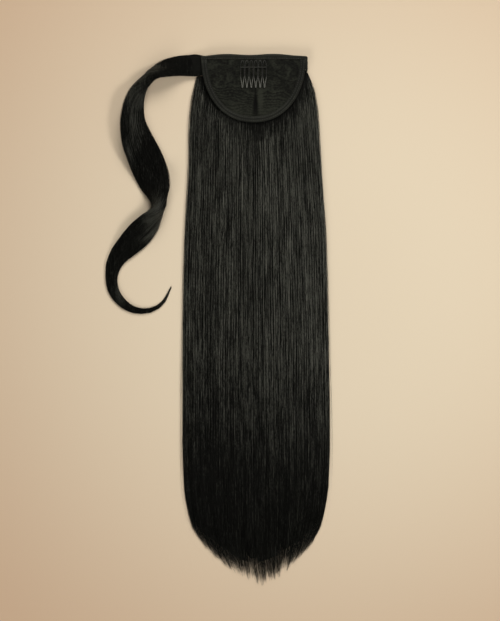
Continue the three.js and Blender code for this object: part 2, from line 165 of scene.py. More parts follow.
# The wrap lock, as in the CAD model. Each row has its place as shares of its reach and drop, its
# width and thickness as shares of the widest and thickest, its turn in degrees, and how far it is
# held up to the root.
WRAP_REACH = 95.4
WRAP_DROP = 261.7
WRAP_WIDTH = 34.0
WRAP_THICKNESS = 10.0
WRAP_ROOT_DROP = 11.2
WRAP_FLUTES = 6
WRAP_FLUTE_DEPTH = 0.1
WRAP_ROWS = (
    (-0.086, 0.0, 0.58, 0.34, 0.0, 1.0),
    (0.0, 0.0, 0.62, 0.36, 0.0, 1.0),
    (0.143, 0.001, 0.68, 0.42, 8.0, 0.7),
    (0.298, 0.006, 0.7, 0.56, 26.0, 0.2),
    (0.455, 0.023, 0.73, 0.74, 52.0, 0.0),
    (0.553, 0.044, 0.64, 1.0, 71.0, 0.0),
    (0.63, 0.073, 0.54, 1.18, 92.0, 0.0),
    (0.712, 0.117, 0.66, 1.02, 125.0, 0.0),
    (0.753, 0.176, 0.76, 0.9, 141.0, 0.0),
    (0.757, 0.233, 0.85, 0.8, 149.0, 0.0),
    (0.71, 0.302, 1.0, 0.68, 159.0, 0.0),
    (0.62, 0.379, 1.06, 0.6, 170.0, 0.0),
    (0.545, 0.448, 1.02, 0.66, 184.0, 0.0),
    (0.491, 0.511, 0.88, 0.94, 208.0, 0.0),
    (0.468, 0.568, 0.58, 1.38, 246.0, 0.0),
    (0.5, 0.602, 0.64, 1.3, 285.0, 0.0),
    (0.56, 0.636, 0.78, 1.06, 316.0, 0.0),
    (0.674, 0.683, 0.85, 0.8, 333.0, 0.0),
    (0.805, 0.731, 0.73, 0.66, 345.0, 0.0),
    (0.934, 0.782, 0.52, 0.5, 356.0, 0.0),
    (0.998, 0.84, 0.36, 0.42, 360.0, 0.0),
    (0.996, 0.898, 0.32, 0.38, 360.0, 0.0),
    (0.936, 0.945, 0.29, 0.34, 360.0, 0.0),
    (0.815, 0.986, 0.24, 0.28, 360.0, 0.0),
    (0.67, 1.001, 0.19, 0.22, 360.0, 0.0),
    (0.532, 0.993, 0.14, 0.18, 360.0, 0.0),
    (0.415, 0.962, 0.09, 0.14, 360.0, 0.0),
    (0.332, 0.9, 0.03, 0.1, 360.0, 0.0),
)

# One leg of a comb tooth from its tip up to the spine, and the loop over the spine: a share of
# the comb's length, of half a tooth's spread, and of the arch.
TOOTH_LEG = (
    (0.02, 0.16, 0.1),
    (0.14, 0.36, 0.42),
    (0.38, 0.98, 1.0),
    (0.54, 1.0, 0.9),
    (0.66, 0.98, 0.4),
)
TOOTH_LOOP = ((0.84, 0.9), (0.97, 0.42))

# The stitch rows: how far in from its edge each tape has them, and how high they lie on it.
BINDING_RIDGES = (1.9, 4.7)
BAND_RIDGE = 4.2
STITCH_LIFT = 0.22

# Painted light on the wrap lock: painted highlights where it catches the light, and painted shade
# where a strength is below zero. Each row has a middle, a half width, a half height and how much
# lighter that place is.
PAINTED_WRAP_LIGHT = (
    (-97.0, 24.0, 8.0, 6.0, 1.2),
    (-106.0, 19.0, 8.0, 7.0, 1.3),
    (-117.0, 6.0, 9.0, 13.0, 1.3),
    (-126.5, -22.0, 5.5, 18.0, 0.95),
    (-132.0, -66.0, 4.5, 22.0, 0.95),
    (-73.0, 23.0, 13.0, 9.0, -0.2),
    (-112.0, -45.0, 8.0, 20.0, -0.26),
    (-100.5, -128.0, 5.0, 11.0, 2.5),
    (-102.5, -144.0, 6.0, 10.0, 2.8),
    (-92.0, -222.0, 7.0, 13.0, 0.8),
    (-112.0, -161.0, 7.0, 7.0, 2.5),
    (-141.0, -224.0, 5.0, 10.0, 1.1),
    (-110.0, -104.0, 14.0, 14.0, -0.1),
)

# What a layer of strands has unless its piece says otherwise. Lengths are in metres, and the rest
# are shares of the guide or plain counts.
STRAND_NUMBERS = {
    "Unevenness": 0.3,
    "Start": 0.0,
    "Start spread": 0.01,
    "End": 1.0,
    "Side cut": 0.0,
    "Lock cut": 0.0,
    "Sink": 0.3 * MM,
    "Lift": 0.3 * MM,
    "Ripple": 0.25 * MM,
    "Ripples": 9.0,
    "Heave": 0.7 * MM,
    "Sway": 0.02,
    "Waves": 9.0,
    "Wave reach": 0.003,
    "Stray": 0.004,
    "Streaks": 9.0,
    "Locks": 62.0,
    "Gather": 0.3,
    "Tip gather": 0.5,
    "Flare": 0.0,
    "Tip": 0.3,
}

# The camera's frame in pixels, the pixel that shows the middle of the pad, and a pixel's size on
# the hairpiece.
FRAME_SIZE = (500, 621)
FRAME_ORIGIN = (253.5, 88.3)
PIXEL = 1.0626

# The height at which a pixel has that size, half the floor's side, and the colour of the light.
SUBJECT_HEIGHT = 10.0
FLOOR_HALF = 4000.0
WARM_WHITE = (1.0, 0.97, 0.88)


def length_setting(name, description, default, least=0.1 * MM):
    return FloatProperty(
        name=name, description=description, default=default, min=least, unit="LENGTH", precision=5
    )


def count_setting(name, description, default, least=10):
    return IntProperty(name=name, description=description, default=default, min=least)


def power_setting(name, description, default):
    return FloatProperty(
        name=name, description=description, default=default, min=0.0, unit="POWER"
    )


def colour_setting(name, description, default):
    return FloatVectorProperty(
        name=name, description=description, default=default, subtype="COLOR", min=0.0, max=1.0
    )


class FallSettings(bpy.types.PropertyGroup):
    """Sizes and colours of the long fall of hair"""

    strands: count_setting("Strands", "Full-length strands, shared out over the layers", 1950)
    short_strands: count_setting(
        "Short strands", "Strands that end part of the way down, for ragged tips", 2300
    )
    loose_strands: count_setting(
        "Loose strands", "Single hairs that stand off the sides and tips", 280, 0
    )
    thickness: length_setting(
        "Strand thickness", "Width of a strand, which stands for a few hairs", 0.42 * MM, 0.05 * MM
    )
    wander: FloatProperty(
        name="Wander",
        description="How far a lock strays sideways, as a share of the fall's width",
        default=0.011,
        min=0.0,
        subtype="FACTOR",
    )
    dark: colour_setting("Dark strands", "Colour of the darkest strands", (0.0007, 0.0008, 0.0004))
    light: colour_setting("Light strands", "Colour of the lightest strands", (0.098, 0.100, 0.087))


class WrapSettings(bpy.types.PropertyGroup):
    """Sizes of the twisted lock that wraps round the tied hair"""

    strands: count_setting("Strands", "Strands laid along the lock", 820)
    loose_strands: count_setting(
        "Loose strands", "Single hairs that stand off the lock", 110, 0
    )
    thickness: length_setting("Strand thickness", "Width of one strand", 0.4 * MM, 0.05 * MM)


class PadSettings(bpy.types.PropertyGroup):
    """Sizes and colours of the net pad and its tapes"""

    wall: length_setting("Net thickness", "Thickness of the doubled net", 0.6 * MM)
    weave_pitch: length_setting(
        "Weave pitch", "Distance from one thread of the net to the next", 0.62 * MM
    )
    grain_pitch: length_setting(
        "Grain pitch", "Distance between the wavy bands of the two nets", 3.6 * MM, 0.5 * MM
    )
    stitch_pitch: length_setting(
        "Stitch pitch", "Distance from one stitch to the next", 2.4 * MM, 0.5 * MM
    )
    net_colour: colour_setting("Net", "Colour of the net", (0.0085, 0.0092, 0.0070))
    tape_colour: colour_setting("Tape", "Colour of the tapes", (0.0092, 0.0100, 0.0076))
    thread_colour: colour_setting("Thread", "Colour of the sewing thread", (0.026, 0.027, 0.022))


class CombSettings(bpy.types.PropertyGroup):
    """Sizes and colour of the wire comb"""

    winding_pitch: length_setting(
        "Winding pitch", "Distance from one turn of the spine's winding to the next", 0.46 * MM
    )
    wire_colour: colour_setting("Wire", "Colour of the lacquered wire", (0.008, 0.008, 0.0075))


class StageSettings(bpy.types.PropertyGroup):
    """The floor, the lights and the camera"""

    floor_colour: colour_setting("Floor", "Colour of the plain floor", (0.80, 0.69, 0.55))
    # The floor's colour away from its middle: painted shade where the lamps' light falls off.
    painted_floor_shade_colour: colour_setting(
        "Floor rim", "Colour of the floor away from its middle", (0.64, 0.465, 0.335)
    )
    key_power: power_setting("Key light", "Power of the light on the right", 7.5)
    fill_power: power_setting(
        "Fill light", "Power of the wide light beyond the top of the hairpiece", 36.0
    )
    low_fill_power: power_setting(
        "Low fill light", "Power of the wide light beyond the tips", 24.0
    )
    camera_height: length_setting(
        "Camera height", "Height of the camera over the floor", 2.0, 0.2
    )


class Field:
    """One socket of a node tree. Arithmetic on it adds Math nodes, or Vector Math for vectors."""

    def __init__(self, graph, socket):
        self.graph = graph
        self.socket = socket

    def other(self, name):
        """Another output of the node that this one comes from."""
        return Field(self.graph, self.socket.node.outputs[name])

    def __add__(self, value):
        return self.graph.maths("ADD", self, value)

    def __radd__(self, value):
        return self.graph.maths("ADD", value, self)

    def __sub__(self, value):
        return self.graph.maths("SUBTRACT", self, value)

    def __rsub__(self, value):
        return self.graph.maths("SUBTRACT", value, self)

    def __mul__(self, value):
        return self.graph.maths("MULTIPLY", self, value)

    def __rmul__(self, value):
        return self.graph.maths("MULTIPLY", value, self)

    def __truediv__(self, value):
        return self.graph.maths("DIVIDE", self, value)

    def __pow__(self, value):
        return self.graph.maths("POWER", self, value)


class Graph:
    """Builds a node tree by calls: a material's shader, or a Geometry Nodes group."""

    def __init__(self, tree):
        self.tree = tree

    def feed(self, socket, value):
        """Links a socket to a field, or sets it to a plain value."""
        if isinstance(value, Field):
            self.tree.links.new(value.socket, socket)
        else:
            socket.default_value = value

    def node(self, kind, settings=None, inputs=None, output=0):
        """Adds a node: its settings first, then the values or links of its sockets."""
        made = self.tree.nodes.new(kind)
        for name, value in (settings or {}).items():
            setattr(made, name, value)
        for name, value in (inputs or {}).items():
            self.feed(made.inputs[name], value)
        return Field(self, made.outputs[output]) if made.outputs else None

    def maths(self, operation, *sides):
        """A Math node, or a Vector Math node where a side is a vector or a colour."""
        is_vector = any(
            isinstance(side, Field) and side.socket.type in {"VECTOR", "RGBA"} for side in sides
        )
        if not is_vector:
            return self.node("ShaderNodeMath", {"operation": operation}, dict(enumerate(sides)))
        wide = [side if isinstance(side, (Field, tuple)) else (side,) * 3 for side in sides]
        return self.node("ShaderNodeVectorMath", {"operation": operation}, dict(enumerate(wide)))

    def vector(self, x, y, z):
        return self.node("ShaderNodeCombineXYZ", inputs={0: x, 1: y, 2: z})

    def smooth(self, value, low, high, start=0.0, end=1.0):
        """Goes smoothly from start to end as the value goes from low to high."""
        return self.node(
            "ShaderNodeMapRange",
            {"interpolation_type": "SMOOTHSTEP"},
            {0: value, 1: low, 2: high, 3: start, 4: end},
        )

    def noise(self, vector, scale=1.0, detail=2.0, roughness=0.5):
        """Soft noise between 0 and 1."""
        inputs = {"Vector": vector, "Scale": scale, "Detail": detail, "Roughness": roughness}
        return self.node("ShaderNodeTexNoise", {"noise_dimensions": "3D"}, inputs)

    def split(self, vector):
        """A vector's X, Y and Z."""
        first = self.node("ShaderNodeSeparateXYZ", inputs={0: vector}, output="X")
        return first, first.other("Y"), first.other("Z")

    def random(self, item, seed, low=0.0, high=1.0):
        """A random number for each item."""
        inputs = {2: low, 3: high, 7: item, 8: seed}
        return self.node("FunctionNodeRandomValue", {"data_type": "FLOAT"}, inputs, 1)

    def circle(self, sides, radius):
        inputs = {"Resolution": sides, "Radius": radius}
        return self.node("GeometryNodeCurvePrimitiveCircle", {"mode": "RADIUS"}, inputs)

    def realize(self, geometry):
        return self.node("GeometryNodeRealizeInstances", inputs={"Geometry": geometry})

    def mix(self, factor, first, second):
        """A colour between two colours."""
        sides = [side if isinstance(side, Field) else (*side[:3], 1.0) for side in (first, second)]
        return self.node(
            "ShaderNodeMix", {"data_type": "RGBA"}, {0: factor, 6: sides[0], 7: sides[1]}, 2
        )

    def attribute(self, name):
        """A named attribute of the surface, in a material."""
        return self.node("ShaderNodeAttribute", {"attribute_name": name}, output="Fac")

    def place(self):
        """The place on the surface in the object's own space, in a material."""
        return self.node("ShaderNodeTexCoord", output="Object")

    def uv(self):
        """The surface's UV, in a material: round the piece, and along it."""
        return self.node("ShaderNodeUVMap", {"uv_map": "UVMap"})


def smooth_step(share):
    share = np.clip(share, 0.0, 1.0)
    return share * share * (3.0 - 2.0 * share)


def lerp(first, second, share):
    return first + (second - first) * share


def link_object(name, data):
    piece = bpy.data.objects.new(name, data)
    bpy.context.scene.collection.objects.link(piece)
    return piece


def path_piece(name, path):
    """Edges along a path in millimetres."""
    mesh = bpy.data.meshes.new(name)
    edges = [(i, i + 1) for i in range(len(path) - 1)]
    mesh.from_pydata((path * MM).tolist(), edges, [])
    return link_object(name, mesh)


def mesh_piece(name, points, faces, corners=None, materials=(), attributes=None):
    """A smooth mesh from points in millimetres. corners has each face corner's UV."""
    mesh = bpy.data.meshes.new(name)
    mesh.from_pydata((np.asarray(points, float) * MM).tolist(), [], faces)
    mesh.shade_smooth()
    if corners is not None:
        layer = mesh.uv_layers.new(name="UVMap")
        layer.data.foreach_set("uv", np.asarray(corners, np.float32).ravel())
    for label, values in (attributes or {}).items():
        kept = mesh.attributes.new(label, "FLOAT", "POINT")
        kept.data.foreach_set("value", np.asarray(values, np.float32).ravel())
    for material in materials:
        mesh.materials.append(material)
    mesh.validate()
    return link_object(name, mesh)


def skin(rings, closed=True, caps=True):
    """Points, faces and corner UVs of a skin over rings, an array of rings by points by 3.

    A closed skin runs round each ring and has its two ends capped, and its faces point outwards.
    """
    rings = np.asarray(rings, float)
    count, sides = rings.shape[:2]
    columns = sides if closed else sides - 1
    points = rings.reshape(-1, 3)
    faces = []
    corners = []
    for ring in range(count - 1):
        low = ring / (count - 1)
        high = (ring + 1) / (count - 1)
        for side in range(columns):
            after = (side + 1) % sides
            near = ring * sides
            far = near + sides
            faces.append((near + side, near + after, far + after, far + side))
            left = side / columns
            right = (side + 1) / columns
            corners += [(left, low), (right, low), (right, high), (left, high)]
    if closed and caps:
        for ring, end in ((0, 0.0), (count - 1, 1.0)):
            face = [ring * sides + side for side in range(sides)]
            face = face[::-1] if ring == 0 else face
            faces.append(tuple(face))
            corners += [((index % sides) / columns, end) for index in face]
    if closed and signed_volume(points, faces) < 0:
        flipped = []
        start = 0
        for face in faces:
            flipped += corners[start : start + len(face)][::-1]
            start += len(face)
        corners = flipped
        faces = [tuple(reversed(face)) for face in faces]
    return points, faces, corners


def signed_volume(points, faces):
    """Six times the volume inside the faces, below zero where they point inwards."""
    total = 0.0
    by_size = {}
    for face in faces:
        by_size.setdefault(len(face), []).append(face)
    for size, group in by_size.items():
        group = np.array(group)
        for step in range(1, size - 1):
            first, second, third = (points[group[:, i]] for i in (0, step, step + 1))
            total += np.einsum("ij,ij->", first, np.cross(second, third))
    return total


def curve_through(points, shares):
    """Centripetal Catmull-Rom curve through points, at shares of their number."""
    points = np.asarray(points, float)
    before = 2 * points[0] - points[1]
    after = 2 * points[-1] - points[-2]
    padded = np.vstack([before, points, after])
    place = np.clip(shares, 0.0, 1.0) * (len(points) - 1)
    start = np.minimum(place.astype(int), len(points) - 2)
    share = (place - start)[:, None]
    first, second, third, fourth = (padded[start + i] for i in range(4))

    def knot(a, b):
        return np.maximum(np.sum((b - a) ** 2, axis=1, keepdims=True) ** 0.25, 1e-4)

    gap0 = knot(first, second)
    gap1 = knot(second, third)
    gap2 = knot(third, fourth)
    slope0 = (second - first) / gap0 - (third - first) / (gap0 + gap1) + (third - second) / gap1
    slope1 = (third - second) / gap1 - (fourth - second) / (gap1 + gap2) + (fourth - third) / gap2
    slope0 = slope0 * gap1
    slope1 = slope1 * gap1
    square = -3 * second + 3 * third - 2 * slope0 - slope1
    cube = 2 * second - 2 * third + slope0 + slope1
    return second + slope0 * share + square * share**2 + cube * share**3


def unit(vectors):
    return vectors / np.maximum(np.linalg.norm(vectors, axis=-1, keepdims=True), 1e-9)


def tube_rings(path, radius, sides=10):
    """Rings of a round wire along a path, with its two ends rounded off."""
    path = np.asarray(path, float)
    along = unit(np.gradient(path, axis=0))
    seed = np.array([0.0, 0.0, 1.0]) if abs(along[0][2]) < 0.9 else np.array([1.0, 0.0, 0.0])
    side = unit(np.cross(along[0], seed))
    sides_out = []
    for way in along:
        side = unit(side - way * np.dot(side, way))
        sides_out.append(side)
    across = np.array(sides_out)
    up = np.cross(along, across)
    turns = np.radians([82.0, 52.0, 24.0])
    starts = [path[0] - along[0] * radius * math.sin(turn) for turn in turns]
    ends = [path[-1] + along[-1] * radius * math.sin(turn) for turn in turns[::-1]]
    caps = radius * np.cos(turns)
    radii = np.concatenate([caps, np.full(len(path), float(radius)), caps[::-1]])
    path = np.vstack([starts, path, ends])
    across = np.vstack([across[:1]] * 3 + [across] + [across[-1:]] * 3)
    up = np.vstack([up[:1]] * 3 + [up] + [up[-1:]] * 3)
    angles = np.linspace(0, 2 * math.pi, sides, endpoint=False)
    cosines = np.cos(angles)[None, :, None]
    sines = np.sin(angles)[None, :, None]
    spread = across[:, None] * cosines + up[:, None] * sines
    return path[:, None] + spread * radii[:, None, None]


def joined_skins(skins):
    """Several skins as one list of points, faces and corner UVs."""
    points = []
    faces = []
    corners = []
    start = 0
    for some_points, some_faces, some_corners in skins:
        points.append(some_points)
        faces += [tuple(index + start for index in face) for face in some_faces]
        corners += some_corners
        start += len(some_points)
    return np.vstack(points), faces, corners


def finish_piece(piece, slot, *nodes):
    """Seats a finished piece on the one body, and hides the CAD nodes that it stands for."""
    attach(piece, "root")
    if nodes:
        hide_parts(*nodes)
    return piece


def shape_tree(name, inputs):
    """A new Geometry Nodes group with named inputs. Gives its graph and the inputs' fields."""
    tree = bpy.data.node_groups.new(name, "GeometryNodeTree")
    tree.interface.new_socket("Geometry", in_out="OUTPUT", socket_type="NodeSocketGeometry")
    tree.interface.new_socket("Geometry", in_out="INPUT", socket_type="NodeSocketGeometry")
    for label, kind in inputs.items():
        tree.interface.new_socket(label, in_out="INPUT", socket_type="NodeSocket" + kind)
    graph = Graph(tree)
    entry = graph.node("NodeGroupInput")
    return graph, {label: entry.other(label) for label in inputs}


def end_tree(graph, geometry, material):
    """Ends a Geometry Nodes group: smooth faces, real geometry and its material."""
    smooth = graph.node("GeometryNodeSetShadeSmooth", inputs={"Geometry": geometry})
    inputs = {"Geometry": graph.realize(smooth), "Material": material}
    graph.node("NodeGroupOutput", inputs={0: graph.node("GeometryNodeSetMaterial", inputs=inputs)})
    return graph.tree


def grow(name, tree, values):
    """Runs a Geometry Nodes group with these inputs and keeps the result as a plain mesh."""
    piece = link_object(name, bpy.data.meshes.new(name + "_start"))
    modifier = piece.modifiers.new(name, "NODES")
    modifier.node_group = tree
    for item in tree.interface.items_tree:
        if item.item_type == "SOCKET" and item.in_out == "INPUT" and item.name in values:
            modifier[item.identifier] = values[item.name]
    bpy.context.view_layer.update()
    depsgraph = bpy.context.evaluated_depsgraph_get()
    mesh = bpy.data.meshes.new_from_object(piece.evaluated_get(depsgraph))
    piece.modifiers.remove(modifier)
    if not mesh.polygons:
        raise RuntimeError(f"{name} came out empty")
    mesh.name = name
    piece.data = mesh
    return piece


def strand_tree():
    """Strands laid on a guide surface: spread over its u, and running down its v."""
    inputs = {"Guide": "Object", "Strands": "Int", "Points": "Int", "Seed": "Int"}
    inputs.update(dict.fromkeys(("Thickness", "End spread", *STRAND_NUMBERS), "Float"))
    inputs["Material"] = "Material"
    graph, take = shape_tree("Strands on a guide", inputs)
    starts = graph.node("GeometryNodeMeshLine", inputs={"Count": take["Strands"]})
    line = graph.node("GeometryNodeCurvePrimitiveLine")
    line = graph.node(
        "GeometryNodeResampleCurve", inputs={"Curve": line, "Count": take["Points"]}
    )
    curves = graph.node(
        "GeometryNodeInstanceOnPoints", inputs={"Points": starts, "Instance": line}
    )
    curves = graph.realize(curves)

    strand = graph.node("GeometryNodeCurveOfPoint")
    along = graph.node("GeometryNodeSplineParameter")
    seed = take["Seed"] * 3.7

    def random(step):
        return graph.random(strand, take["Seed"] + step)

    def centred(field):
        return (field - 0.5) * 2.0

    def drift(first, second, detail=1.0, more=0.0):
        """Soft noise that the layer's seed makes its own."""
        return graph.noise(graph.vector(first, second, seed + more), detail=detail)

    start = take["Start"] + take["Start spread"] * random(1)
    across = (strand + random(3)) / take["Strands"]
    lock = graph.maths("FLOOR", across * take["Locks"])
    end = take["End"] - take["End spread"] * random(2) ** 1.5
    end = end - take["Side cut"] * centred(across) ** 2.0
    end = end - take["Lock cut"] * graph.smooth(drift(lock * 7.77, 0.0, 0.0), 0.35, 0.65)
    down = graph.maths("MINIMUM", start + (end - start) * along, 0.9995)

    middle = (lock + 0.5) / take["Locks"]
    edge = graph.maths("ABSOLUTE", across - middle) * take["Locks"] * 2.0
    parting = graph.smooth(drift(lock * 5.13, down * take["Streaks"]), 0.4, 0.58)
    gather = take["Gather"] * (0.3 + parting * 0.7) * graph.smooth(down, 0.02, 0.3, 0.55, 1.0)
    gather = graph.maths("MAXIMUM", gather, take["Tip gather"] * graph.smooth(down, 0.88, 1.0))
    across = across + (middle - across) * gather
    slow = drift(across * 9.0, down * 3.2)
    quick = drift(across * 34.0, down * take["Waves"])
    own = drift(strand * 7.31, down * 6.0)
    free = graph.smooth(down, 0.0, 0.22)
    across = across + free * (
        centred(slow) * take["Sway"] + centred(quick) * take["Wave reach"]
    )
    across = across + free * centred(own) * take["Stray"]
    across = graph.maths("MINIMUM", graph.maths("MAXIMUM", across, 0.0015), 0.9985)

    guide = graph.node("GeometryNodeObjectInfo", inputs={"Object": take["Guide"]}, output=4)
    spot = graph.vector(across, down, 0.0)

    def named(name, kind):
        return graph.node("GeometryNodeInputNamedAttribute", {"data_type": kind}, {"Name": name})

    uv_map = named("UVMap", "FLOAT_VECTOR")

    def on_guide(value, kind):
        return graph.node(
            "GeometryNodeSampleUVSurface",
            {"data_type": kind},
            {"Mesh": guide, "Value": value, "UV Map": uv_map, "Sample UV": spot},
        )

    place = on_guide(graph.node("GeometryNodeInputPosition"), "FLOAT_VECTOR")
    normal = on_guide(graph.node("GeometryNodeInputNormal"), "FLOAT_VECTOR")
    room, light = (on_guide(named(name, "FLOAT"), "FLOAT") for name in ("room", "light"))
    ripple = drift(strand * 3.17, down * take["Ripples"])
    heave = drift(lock * 3.3, down * take["Ripples"] * 0.6, 0.0)
    lift = room * (take["Lift"] * random(4) + centred(ripple) * take["Ripple"])
    lift = lift + room * centred(heave) * take["Heave"]
    lift = lift - take["Sink"] * (1.0 - room)
    flare = centred(random(5)) * take["Flare"] * down * down * room
    x, y, height = graph.split(place + normal * lift + graph.vector(flare, 0.0, 0.0))
    height = graph.maths("MAXIMUM", height, take["Thickness"] * 0.5 + 0.1 * MM)
    curves = graph.node(
        "GeometryNodeSetPosition",
        inputs={"Geometry": curves, "Position": graph.vector(x, y, height)},
    )

    # tone carries painted light: the guide's light attribute (painted shade near the pad, painted
    # highlights and shade on the wrap lock), and painted shade on strands beside a lock's parting.
    tone = drift(lock * 2.71, down * take["Streaks"] * 0.6, more=9.0)
    tone = graph.smooth(tone, 0.3, 0.6) * 0.1 + random(6) * 0.5 + 0.37
    tone = tone * (1.0 - parting * 0.85 * graph.smooth(edge, 0.4, 0.85)) * light
    tone = tone + graph.smooth(down, 0.93, 1.0) * random(6) * 1.1
    curves = graph.node(
        "GeometryNodeStoreNamedAttribute",
        {"data_type": "FLOAT", "domain": "POINT"},
        {"Geometry": curves, "Name": "tone", "Value": tone},
    )
    taper = graph.smooth(along, 0.72, 1.0, 1.0, take["Tip"])
    size = take["Thickness"] * 0.5 * (1.0 + centred(random(7)) * take["Unevenness"]) * taper
    inputs = {"Curve": curves, "Profile Curve": graph.circle(3, 1.0), "Scale": size}
    strands = graph.node("GeometryNodeCurveToMesh", inputs={**inputs, "Fill Caps": True})
    return end_tree(graph, strands, take["Material"])


def stitch_tree():
    """Stitches along a path: short rounded threads, one after another."""
    inputs = {"Path": "Object", "Seed": "Int", "Material": "Material"}
    inputs.update(dict.fromkeys(("Pitch", "Length", "Thickness"), "Float"))
    graph, take = shape_tree("Stitches on a path", inputs)
    path = graph.node("GeometryNodeObjectInfo", inputs={"Object": take["Path"]}, output=4)
    path = graph.node("GeometryNodeMeshToCurve", inputs={"Mesh": path})
    spots = graph.node(
        "GeometryNodeCurveToPoints", {"mode": "LENGTH"}, {"Curve": path, "Length": take["Pitch"]}
    )
    turn = graph.node(
        "FunctionNodeAlignRotationToVector", {"axis": "X"}, {"Vector": spots.other("Tangent")}
    )
    uneven = graph.random(graph.node("GeometryNodeInputIndex"), take["Seed"], 0.85, 1.1)
    inputs = {
        "Points": spots,
        "Instance": graph.node(
            "GeometryNodeMeshUVSphere", inputs={"Segments": 6, "Rings": 5, "Radius": 0.5}
        ),
        "Rotation": turn,
        "Scale": graph.vector(take["Length"] * uneven, take["Thickness"], take["Thickness"]),
    }
    stitches = graph.node("GeometryNodeInstanceOnPoints", inputs=inputs)
    return end_tree(graph, graph.realize(stitches), take["Material"])


def winding_tree():
    """Turns of thread round a straight rod, side by side."""
    inputs = {"Turns": "Int", "Start": "Vector", "Step": "Vector", "Material": "Material"}
    inputs.update(dict.fromkeys(("Radius", "Thickness"), "Float"))
    graph, take = shape_tree("Winding on a rod", inputs)
    line = graph.node(
        "GeometryNodeMeshLine",
        inputs={"Count": take["Turns"], "Start Location": take["Start"], "Offset": take["Step"]},
    )
    ring = graph.circle(14, take["Radius"])
    thread = graph.circle(5, take["Thickness"] * 0.5)
    ring = graph.node(
        "GeometryNodeCurveToMesh", inputs={"Curve": ring, "Profile Curve": thread}
    )
    turn = graph.node(
        "FunctionNodeAlignRotationToVector", {"axis": "Z"}, {"Vector": take["Step"]}
    )
    inputs = {"Points": line, "Instance": ring, "Rotation": turn}
    winding = graph.node("GeometryNodeInstanceOnPoints", inputs=inputs)
    return end_tree(graph, graph.realize(winding), take["Material"])


def new_material(name):
    """An empty material, and the graph that fills it."""
    material = bpy.data.materials.new(name)
    material.use_nodes = True
    material.node_tree.nodes.clear()
    return material, Graph(material.node_tree)


def paint(material, graph, inputs, relief=None):
    """Ends a material with its one Principled shader. relief is a bump's inputs."""
    if relief:
        inputs = {**inputs, "Normal": graph.node("ShaderNodeBump", inputs=relief)}
    shader = graph.node("ShaderNodeBsdfPrincipled", inputs=inputs)
    graph.node("ShaderNodeOutputMaterial", inputs={"Surface": shader})
    return material


def tint(colour, factor):
    """A colour made lighter or darker by a factor."""
    return tuple(channel * factor for channel in colour)


def painted_tip_shade_and_highlight(graph, place):
    """1 along most of the fall and lower towards its tips, as painted shade, and a painted
    highlight above its middle.
    """
    _, height, _ = graph.split(place)
    painted_highlight = graph.smooth(height, -0.26, -0.2, 0.0, 0.16)
    painted_highlight = painted_highlight - graph.smooth(height, -0.12, -0.06, 0.0, 0.16)
    return graph.smooth(height, -0.45, -0.24, 0.0, 1.0), painted_highlight


def strand_material(name="fall strands", gloss=0.16, painted_shade=1.0):
    """Strands: each a little lighter or darker, with soft breaks in tone along its length."""
    settings = bpy.context.scene.hairpiece_fall
    material, graph = new_material(name)
    place = graph.place()
    streaks = graph.noise(place * graph.vector(1100.0, 62.0, 300.0), detail=2.0)
    grain = graph.noise(place * graph.vector(1500.0, 330.0, 500.0), detail=1.0)
    uneven = (streaks - 0.5) * 1.1 + (grain - 0.5) * 0.8
    shade = graph.smooth(graph.attribute("tone") * 0.8 + uneven, 0.1, 0.9)
    # Painted light in the base colour: painted shade towards the fall's tips, a painted highlight
    # above its middle, and painted shade over whole layers that lie in shade.
    tip, painted_highlight = painted_tip_shade_and_highlight(graph, place)
    base = graph.maths("MAXIMUM", shade**1.3 - (1.0 - tip) * 0.7, 0.0) * (painted_highlight + 1.0) * painted_shade
    inputs = {
        "Base Color": graph.mix(base, settings.dark, settings.light),
        "Roughness": 0.74 - shade * 0.4,
        "Specular IOR Level": gloss,
    }
    return paint(material, graph, inputs)


def deep_material():
    """The strands that show between the fall's locks, painted much darker as painted shade, where
    little light gets in.
    """
    return strand_material("deep strands", gloss=0.1, painted_shade=0.22)


def wrap_material():
    """The wrap lock's strands, which are combed smooth and shine less than the fall, and are
    painted darker as painted shade.
    """
    return strand_material("wrap strands", gloss=0.12, painted_shade=0.46)


def core_material():
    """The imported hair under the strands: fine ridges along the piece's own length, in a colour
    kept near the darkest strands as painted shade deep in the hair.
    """
    settings = bpy.context.scene.hairpiece_fall
    material, graph = new_material("packed hair")
    spot = graph.uv()
    fine = graph.noise(spot * graph.vector(420.0, 9.0, 1.0), detail=3.0, roughness=0.6)
    broad = graph.noise(spot * graph.vector(60.0, 5.0, 1.0), detail=2.0)
    shade = graph.smooth(fine * 0.7 + broad * 0.4, 0.35, 0.8)
    # The low mix keeps the core dark: painted shade where it shows between the strands.
    inputs = {
        "Base Color": graph.mix(shade * 0.05, settings.dark, settings.light),
        "Roughness": 0.65 - shade * 0.12,
        "Specular IOR Level": 0.08,
    }
    relief = {"Strength": 0.6, "Distance": 0.5 * MM, "Height": fine}
    return paint(material, graph, inputs, relief)


